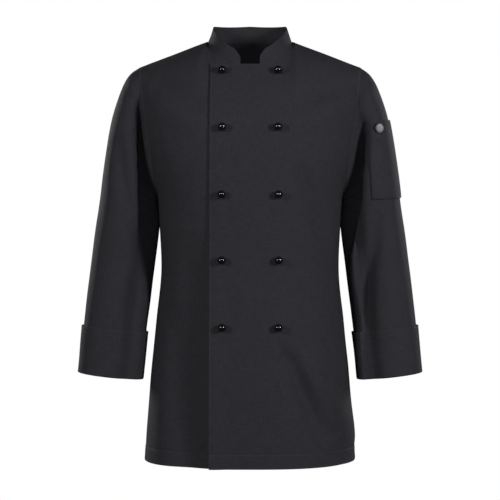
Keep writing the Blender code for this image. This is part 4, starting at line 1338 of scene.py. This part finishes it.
class JACKET_OT_collar(bpy.types.Operator):
    """Builds the stand collar with its rounded ends"""

    bl_idname = "jacket.collar"
    bl_label = "Collar"

    def execute(self, context):
        ends = 0.5 * (1.0 - np.cos(np.linspace(0.0, math.pi / 2, 14))) * 0.16
        middle = np.linspace(0.08, 0.92, 90)
        places = np.unique(np.concatenate([ends, middle, 1.0 - ends]))
        place, share = np.meshgrid(places, np.linspace(0.0, 1.0, 12))
        points = collar_at(place, share)
        obj = add_cloth("collar", points, COLLAR_WALL, COLLAR_EDGE)
        return {"FINISHED"}


def skin_of(name):
    """The faces of a finished piece, to find places on them."""
    obj = bpy.data.objects[name]
    points = [vertex.co.copy() for vertex in obj.data.vertices]
    return BVHTree.FromPolygons(points, [tuple(face.vertices) for face in obj.data.polygons])


def on_sleeve(skin, level, turn, out=0.0):
    """The place on the left sleeve at a level and an angle round the arm, and its normal."""
    share = (level - ARM_HIGH[2]) / (ARM_LOW[2] - ARM_HIGH[2])
    middle = Vector(ARM_HIGH).lerp(Vector(ARM_LOW), share)
    angle = math.radians(turn)
    outwards = Vector((math.cos(angle), -math.sin(angle), 0.0))
    place, normal, *_ = skin.ray_cast(middle + outwards * 0.2, -outwards)
    if place is None:
        raise RuntimeError(f"no sleeve at level {level:.3f} and turn {turn:.0f}")
    return place + outwards * out, normal


def pocket_level(down, round_it):
    return mix(POCKET_TOP, POCKET_FOOT, down) - POCKET_DROOP * round_it


def pocket_point(skin, round_it, down, out=0.0):
    """A place on the pocket: `round_it` from its back edge to its front edge, `down` from the top."""
    turn = mix(POCKET_TURN[0], POCKET_TURN[1], round_it) + POCKET_SWING * round_it * down
    return on_sleeve(skin, pocket_level(down, round_it), turn, out)


def pocket_line(skin, start, end, out, count=60):
    """A line of stitching between two (round_it, down) places of the pocket."""
    shares = np.linspace(0.0, 1.0, count)
    pairs = [pocket_point(skin, mix(start[0], end[0], s), mix(start[1], end[1], s), out) for s in shares]
    return np.array([place for place, _ in pairs]), np.array([normal for _, normal in pairs])


class JACKET_OT_pocket(bpy.types.Operator):
    """Builds the pen pocket on the left sleeve"""

    bl_idname = "jacket.pocket"
    bl_label = "Sleeve pocket"

    def execute(self, context):
        cloth = context.scene.jacket_cloth
        skin = skin_of("sleeve_left_cloth")
        columns = np.linspace(0.0, 1.0, 27)
        rows = np.linspace(0.0, 1.0, 43)
        points = np.zeros((len(rows), len(columns), 3))
        for r, down in enumerate(rows):
            for c, round_it in enumerate(columns):
                edge = min(round_it, 1.0 - round_it, 1.0 - down) / 0.05
                lift = POCKET_REST + cloth.wall + POCKET_FULL * float(smooth(edge))
                points[r, c] = pocket_point(skin, round_it, down, lift)[0]
        obj = add_cloth("sleeve_pocket", points, cloth.wall, cloth.edge)
        return {"FINISHED"}


def turned_mesh(name, profile, sides):
    """A turned shape about Z from its profile of (radius, height), bottom to top."""
    bm = bmesh.new()
    rings = []
    for radius, height in profile:
        if radius == 0.0:
            rings.append([bm.verts.new((0.0, 0.0, height))])
            continue
        turns = [2 * math.pi * i / sides for i in range(sides)]
        rings.append([bm.verts.new((radius * math.cos(t), radius * math.sin(t), height)) for t in turns])
    for low, high in zip(rings, rings[1:]):
        for i in range(sides):
            j = (i + 1) % sides
            loop = [low[i % len(low)], low[j % len(low)], high[j % len(high)], high[i % len(high)]]
            bm.faces.new(list(dict.fromkeys(loop)))
    bmesh.ops.recalc_face_normals(bm, faces=bm.faces)
    mesh = bpy.data.meshes.new(name)
    bm.to_mesh(mesh)
    bm.free()
    mesh.shade_smooth()
    mesh.set_sharp_from_angle(angle=math.radians(35))
    return mesh


def set_in_place(mesh, point, normal):
    """Turns a mesh's Z to the normal and moves it to the point, in its own coordinates."""
    turn = Vector(normal).to_track_quat("Z", "Y").to_matrix().to_4x4()
    turn.translation = point
    mesh.transform(turn)


class JACKET_OT_badge(bpy.types.Operator):
    """Builds the pocket's plain round badge: a dark ring round a pale disc"""

    bl_idname = "jacket.badge"
    bl_label = "Pocket badge"

    def execute(self, context):
        skin = skin_of("sleeve_left_cloth")
        wall = context.scene.jacket_cloth.wall
        point, normal = on_sleeve(skin, BADGE_LEVEL, BADGE_TURN, POCKET_REST + 2 * wall + BADGE_REST)
        parts = (("badge_ring", BADGE_RING, ("pocket_badge",)), ("badge_disc", BADGE_DISC, ()))
        for name, profile, nodes in parts:
            mesh = turned_mesh(name, [(BADGE_R * share, height) for share, height in profile], 48)
            set_in_place(mesh, point, normal)
            add_piece(name, mesh, material_named(name), nodes)
        return {"FINISHED"}


def front_seat(skin, x, z):
    """The place and normal of the left front at (x, z), found from in front."""
    place, normal, *_ = skin.ray_cast(Vector((x, -0.5, z)), Vector((0.0, 1.0, 0.0)))
    if place is None:
        raise RuntimeError(f"no front at x {x:.3f}, z {z:.3f}")
    return place, normal


def stud_places():
    """Each stud's node with the (x, z) of its middle."""
    for column in ("left", "right"):
        for row in range(1, STUD_ROWS + 1):
            node = f"stud_{column}_{row}"
            low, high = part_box(node)
            yield node, (low.x + high.x) / 2, (low.z + high.z) / 2


def stud_profile(ball):
    """Back disc inside the right front, shank through both fronts, and the ball with its collar."""
    near, far = -STUD_BACK_DEPTH, -STUD_BACK_DEPTH - STUD_BACK_THICK
    rounded_r = STUD_BACK - 0.0006
    centre = STUD_REST + ball * STUD_FLAT
    profile = [
        (0.0, far),
        (rounded_r, far),
        (STUD_BACK, near - STUD_BACK_THICK / 2),
        (rounded_r, near),
        (STUD_SHANK, near),
        (STUD_SHANK, STUD_REST),
        (ball * 0.30, STUD_REST),
    ]
    for angle in np.linspace(-math.asin(STUD_FLAT), math.pi / 2, 15)[:-1]:
        profile.append((ball * math.cos(angle), centre + ball * math.sin(angle)))
    profile.append((0.0, centre + ball))
    return profile


class JACKET_OT_studs(bpy.types.Operator):
    """Builds the ten ball studs in their buttonholes"""

    bl_idname = "jacket.studs"
    bl_label = "Studs"

    def execute(self, context):
        studs = context.scene.jacket_studs
        skin = skin_of("front_left_cloth")
        for node, x, z in stud_places():
            point, normal = front_seat(skin, x, z)
            mesh = turned_mesh(node + "_knob", stud_profile(studs.ball), studs.segments)
            set_in_place(mesh, point, normal)
            add_piece(node + "_knob", mesh, material_named("stud"), (node,))
        return {"FINISHED"}


def hole_line(skin, x, z, length, half_width, lift=0.0002):
    """The worked edge of a buttonhole as a closed line round its slit."""
    straight = length / 2 - half_width
    turns = np.linspace(0.0, 2 * math.pi, 49)
    dx = straight * np.clip(np.cos(turns) * 1.6, -1.0, 1.0) + half_width * np.cos(turns)
    dz = half_width * np.clip(np.sin(turns) * 1.8, -1.0, 1.0)
    points, outward = [], []
    for a, b in zip(dx, dz):
        place, normal = front_seat(skin, x + a, z + b)
        points.append(place + normal * lift)
        outward.append(normal)
    return np.array(points), np.array(outward)


class JACKET_OT_buttonholes(bpy.types.Operator):
    """Works the buttonholes round the studs in close thread"""

    bl_idname = "jacket.buttonholes"
    bl_label = "Buttonholes"

    def execute(self, context):
        length = context.scene.jacket_studs.hole_length
        skin = skin_of("front_left_cloth")
        lines = [hole_line(skin, x, z + HOLE_RISE, length, HOLE_HALF) for _, x, z in stud_places()]
        sew("buttonhole_thread", lines, pitch=0.00062, along=0.00058, across=0.0022, high=0.0007)
        return {"FINISHED"}


def panel_line(piece, across, up):
    return line_on(lambda u, v, out: panel_at(piece, u, v, out), across, up)


class JACKET_OT_stitching(bpy.types.Operator):
    """Sews the rows of stitching along the edges, hems, cuffs, collar and pocket"""

    bl_idname = "jacket.stitching"
    bl_label = "Stitching"

    def execute(self, context):
        thread = context.scene.jacket_stitching
        size = {"pitch": thread.pitch, "along": thread.length, "across": thread.thick, "high": thread.thick}
        hem = HEM_FOLD / (YOKE_Z - HEM_Z)
        edge = -LAP_SHARE * (1.0 - EDGE_STITCH / LAP)
        across_top = np.linspace(edge, COLLAR_START * 0.9, 60)
        top = level_tops(across_top)
        top = 1.0 + (top - 1.0) * (1.0 - TOP_STITCH / (LAP_TOP - YOKE_Z))
        body = [
            panel_line("front_left", np.linspace(-LAP_SHARE * 0.99, 1.0, 160), hem),
            panel_line("front_right", np.linspace(-1.0, LAP_SHARE * 0.99, 160), hem),
            panel_line("back", np.linspace(-1.0, 1.0, 260), hem),
            panel_line("front_left", edge, np.linspace(0.003, top[0], 300)),
            panel_line("front_left", across_top, top),
        ]
        sew("body_stitching", body, **size)
        turns = np.linspace(0.0, 2 * math.pi, 160)
        sleeves = []
        for side in (1, -1):
            for inset in CUFF_STITCHES:
                share = 1.0 - inset / (CUFF_TOP - CUFF_TURN)
                sleeves.append(line_on(lambda u, v, out, s=side: cuff_at(s, u, v, out), share, turns))
        sew("cuff_stitching", sleeves, **size)
        upright = np.linspace(0.04, COLLAR_STITCH, 20)
        collar = [line_on(collar_at, np.linspace(0.012, 0.988, 240), COLLAR_STITCH)]
        collar += [line_on(collar_at, np.full(20, end), upright) for end in (0.011, 0.989)]
        sew("collar_stitching", collar, **size)
        skin = skin_of("sleeve_left_cloth")
        lift = POCKET_REST + context.scene.jacket_cloth.wall + POCKET_FULL
        rear, foot = POCKET_INSET[0], 1.0 - POCKET_INSET[1]
        front = 1.0 - rear
        corners = ((rear, 0.0), (rear, foot), (front, foot), (front, 0.0))
        lines = [pocket_line(skin, a, b, lift) for a, b in zip(corners, corners[1:])]
        lines.append(pocket_line(skin, (rear, POCKET_HEM), (front, POCKET_HEM), lift))
        sew("pocket_stitching", lines, **size)
        return {"FINISHED"}


def area_light(name, place, target, width, height, power):
    data = bpy.data.lights.new(name, "AREA")
    data.shape = "RECTANGLE"
    data.size, data.size_y = width, height
    data.energy = power
    lamp = bpy.data.objects.new(name, data)
    bpy.context.scene.collection.objects.link(lamp)
    lamp.location = place
    lamp.rotation_euler = (Vector(place) - Vector(target)).to_track_quat("Z", "Y").to_euler()


class JACKET_OT_stage(bpy.types.Operator):
    """Sets the pale floor, the soft lights and the camera"""

    bl_idname = "jacket.stage"
    bl_label = "Stage"

    def execute(self, context):
        stage = context.scene.jacket_stage
        scene = context.scene
        bm = bmesh.new()
        bmesh.ops.create_circle(bm, segments=96, radius=FLOOR_RADIUS, cap_ends=True)
        mesh = bpy.data.meshes.new("floor")
        bm.to_mesh(mesh)
        bm.free()
        floor = bpy.data.objects.new("floor", mesh)
        floor.location = (0.0, 0.0, stage.floor)
        scene.collection.objects.link(floor)
        material, tree, shader = new_material("pale_floor", FLOOR_GREY, 0.6)
        speckle = noise_at(tree, tree.nodes.new("ShaderNodeTexCoord").outputs["Object"], 3.0, 2.0)
        tone = math_node(tree, "ADD", math_node(tree, "MULTIPLY", speckle, 0.02), 0.99)
        tree.links.new(tinted(tree, FLOOR_GREY, tone), shader.inputs["Base Color"])
        shader.inputs["Emission Color"].default_value = (1.0, 1.0, 1.0, 1.0)
        shader.inputs["Emission Strength"].default_value = 0.50
        mesh.materials.append(material)
        floor.visible_diffuse = False
        floor.visible_glossy = False

        middle = (0.0, 0.0, stage.level)
        for behind, power in ((1.0, stage.key_power), (-1.0, stage.back_power)):
            for side, share in ((-1.0, stage.left_share), (1.0, 1.0)):
                x, y, z = SOFTBOX_PLACE
                place = (x * side * behind, y * behind, z)
                area_light("softbox", place, middle, *SOFTBOX_SIZE, power * share)
            x, y, z = FILL_PLACE
            area_light("fill", (x, y * behind, z), middle, *FILL_SIZE, power * stage.fill_share)

        world = bpy.data.worlds.new("studio")
        scene.world = world
        world.use_nodes = True
        nodes, links = world.node_tree.nodes, world.node_tree.links
        seen, even = nodes["Background"], nodes.new("ShaderNodeBackground")
        seen.inputs["Color"].default_value = (1.0, 1.0, 1.0, 1.0)
        seen.inputs["Strength"].default_value = 1.0
        even.inputs["Color"].default_value = (1.0, 1.0, 1.0, 1.0)
        even.inputs["Strength"].default_value = stage.ambient
        path, either = nodes.new("ShaderNodeLightPath"), nodes.new("ShaderNodeMixShader")
        links.new(path.outputs["Is Camera Ray"], either.inputs["Fac"])
        links.new(even.outputs["Background"], either.inputs[1])
        links.new(seen.outputs["Background"], either.inputs[2])
        links.new(either.outputs["Shader"], nodes["World Output"].inputs["Surface"])

        data = bpy.data.cameras.new("camera")
        data.lens = stage.lens
        data.sensor_width = 36.0
        camera = bpy.data.objects.new("camera", data)
        camera.location = (0.0, -stage.distance, stage.level)
        camera.rotation_euler = (math.pi / 2, 0.0, 0.0)
        scene.collection.objects.link(camera)
        scene.camera = camera
        scene.view_settings.view_transform = "Standard"
        return {"FINISHED"}


SETTINGS = (
    ("jacket_cloth", JacketCloth),
    ("jacket_stitching", JacketStitching),
    ("jacket_studs", JacketStuds),
    ("jacket_stage", JacketStage),
)
OPERATORS = (
    JACKET_OT_back,
    JACKET_OT_fronts,
    JACKET_OT_sleeves,
    JACKET_OT_cuffs,
    JACKET_OT_collar,
    JACKET_OT_pocket,
    JACKET_OT_badge,
    JACKET_OT_studs,
    JACKET_OT_buttonholes,
    JACKET_OT_stitching,
    JACKET_OT_stage,
)


class JACKET_PT_sidebar(bpy.types.Panel):
    """The jacket's settings and the operators that build its pieces"""

    bl_label = "Chef Jacket"
    bl_space_type = "VIEW_3D"
    bl_region_type = "UI"
    bl_category = "Jacket"

    def draw(self, context):
        for name, group in SETTINGS:
            box = self.layout.box()
            for field in group.__annotations__:
                box.prop(getattr(context.scene, name), field)
        for operator in OPERATORS:
            self.layout.operator(operator.bl_idname)


def register():
    for name, group in SETTINGS:
        bpy.utils.register_class(group)
        setattr(bpy.types.Scene, name, PointerProperty(type=group))
    for operator in OPERATORS:
        bpy.utils.register_class(operator)
    bpy.utils.register_class(JACKET_PT_sidebar)


def unregister():
    bpy.utils.unregister_class(JACKET_PT_sidebar)
    for operator in reversed(OPERATORS):
        bpy.utils.unregister_class(operator)
    for name, group in reversed(SETTINGS):
        delattr(bpy.types.Scene, name)
        bpy.utils.unregister_class(group)


def main():
    register()
    for operator in OPERATORS:
        group, name = operator.bl_idname.split(".")
        getattr(getattr(bpy.ops, group), name)()


if __name__ == "__main__":
    main()
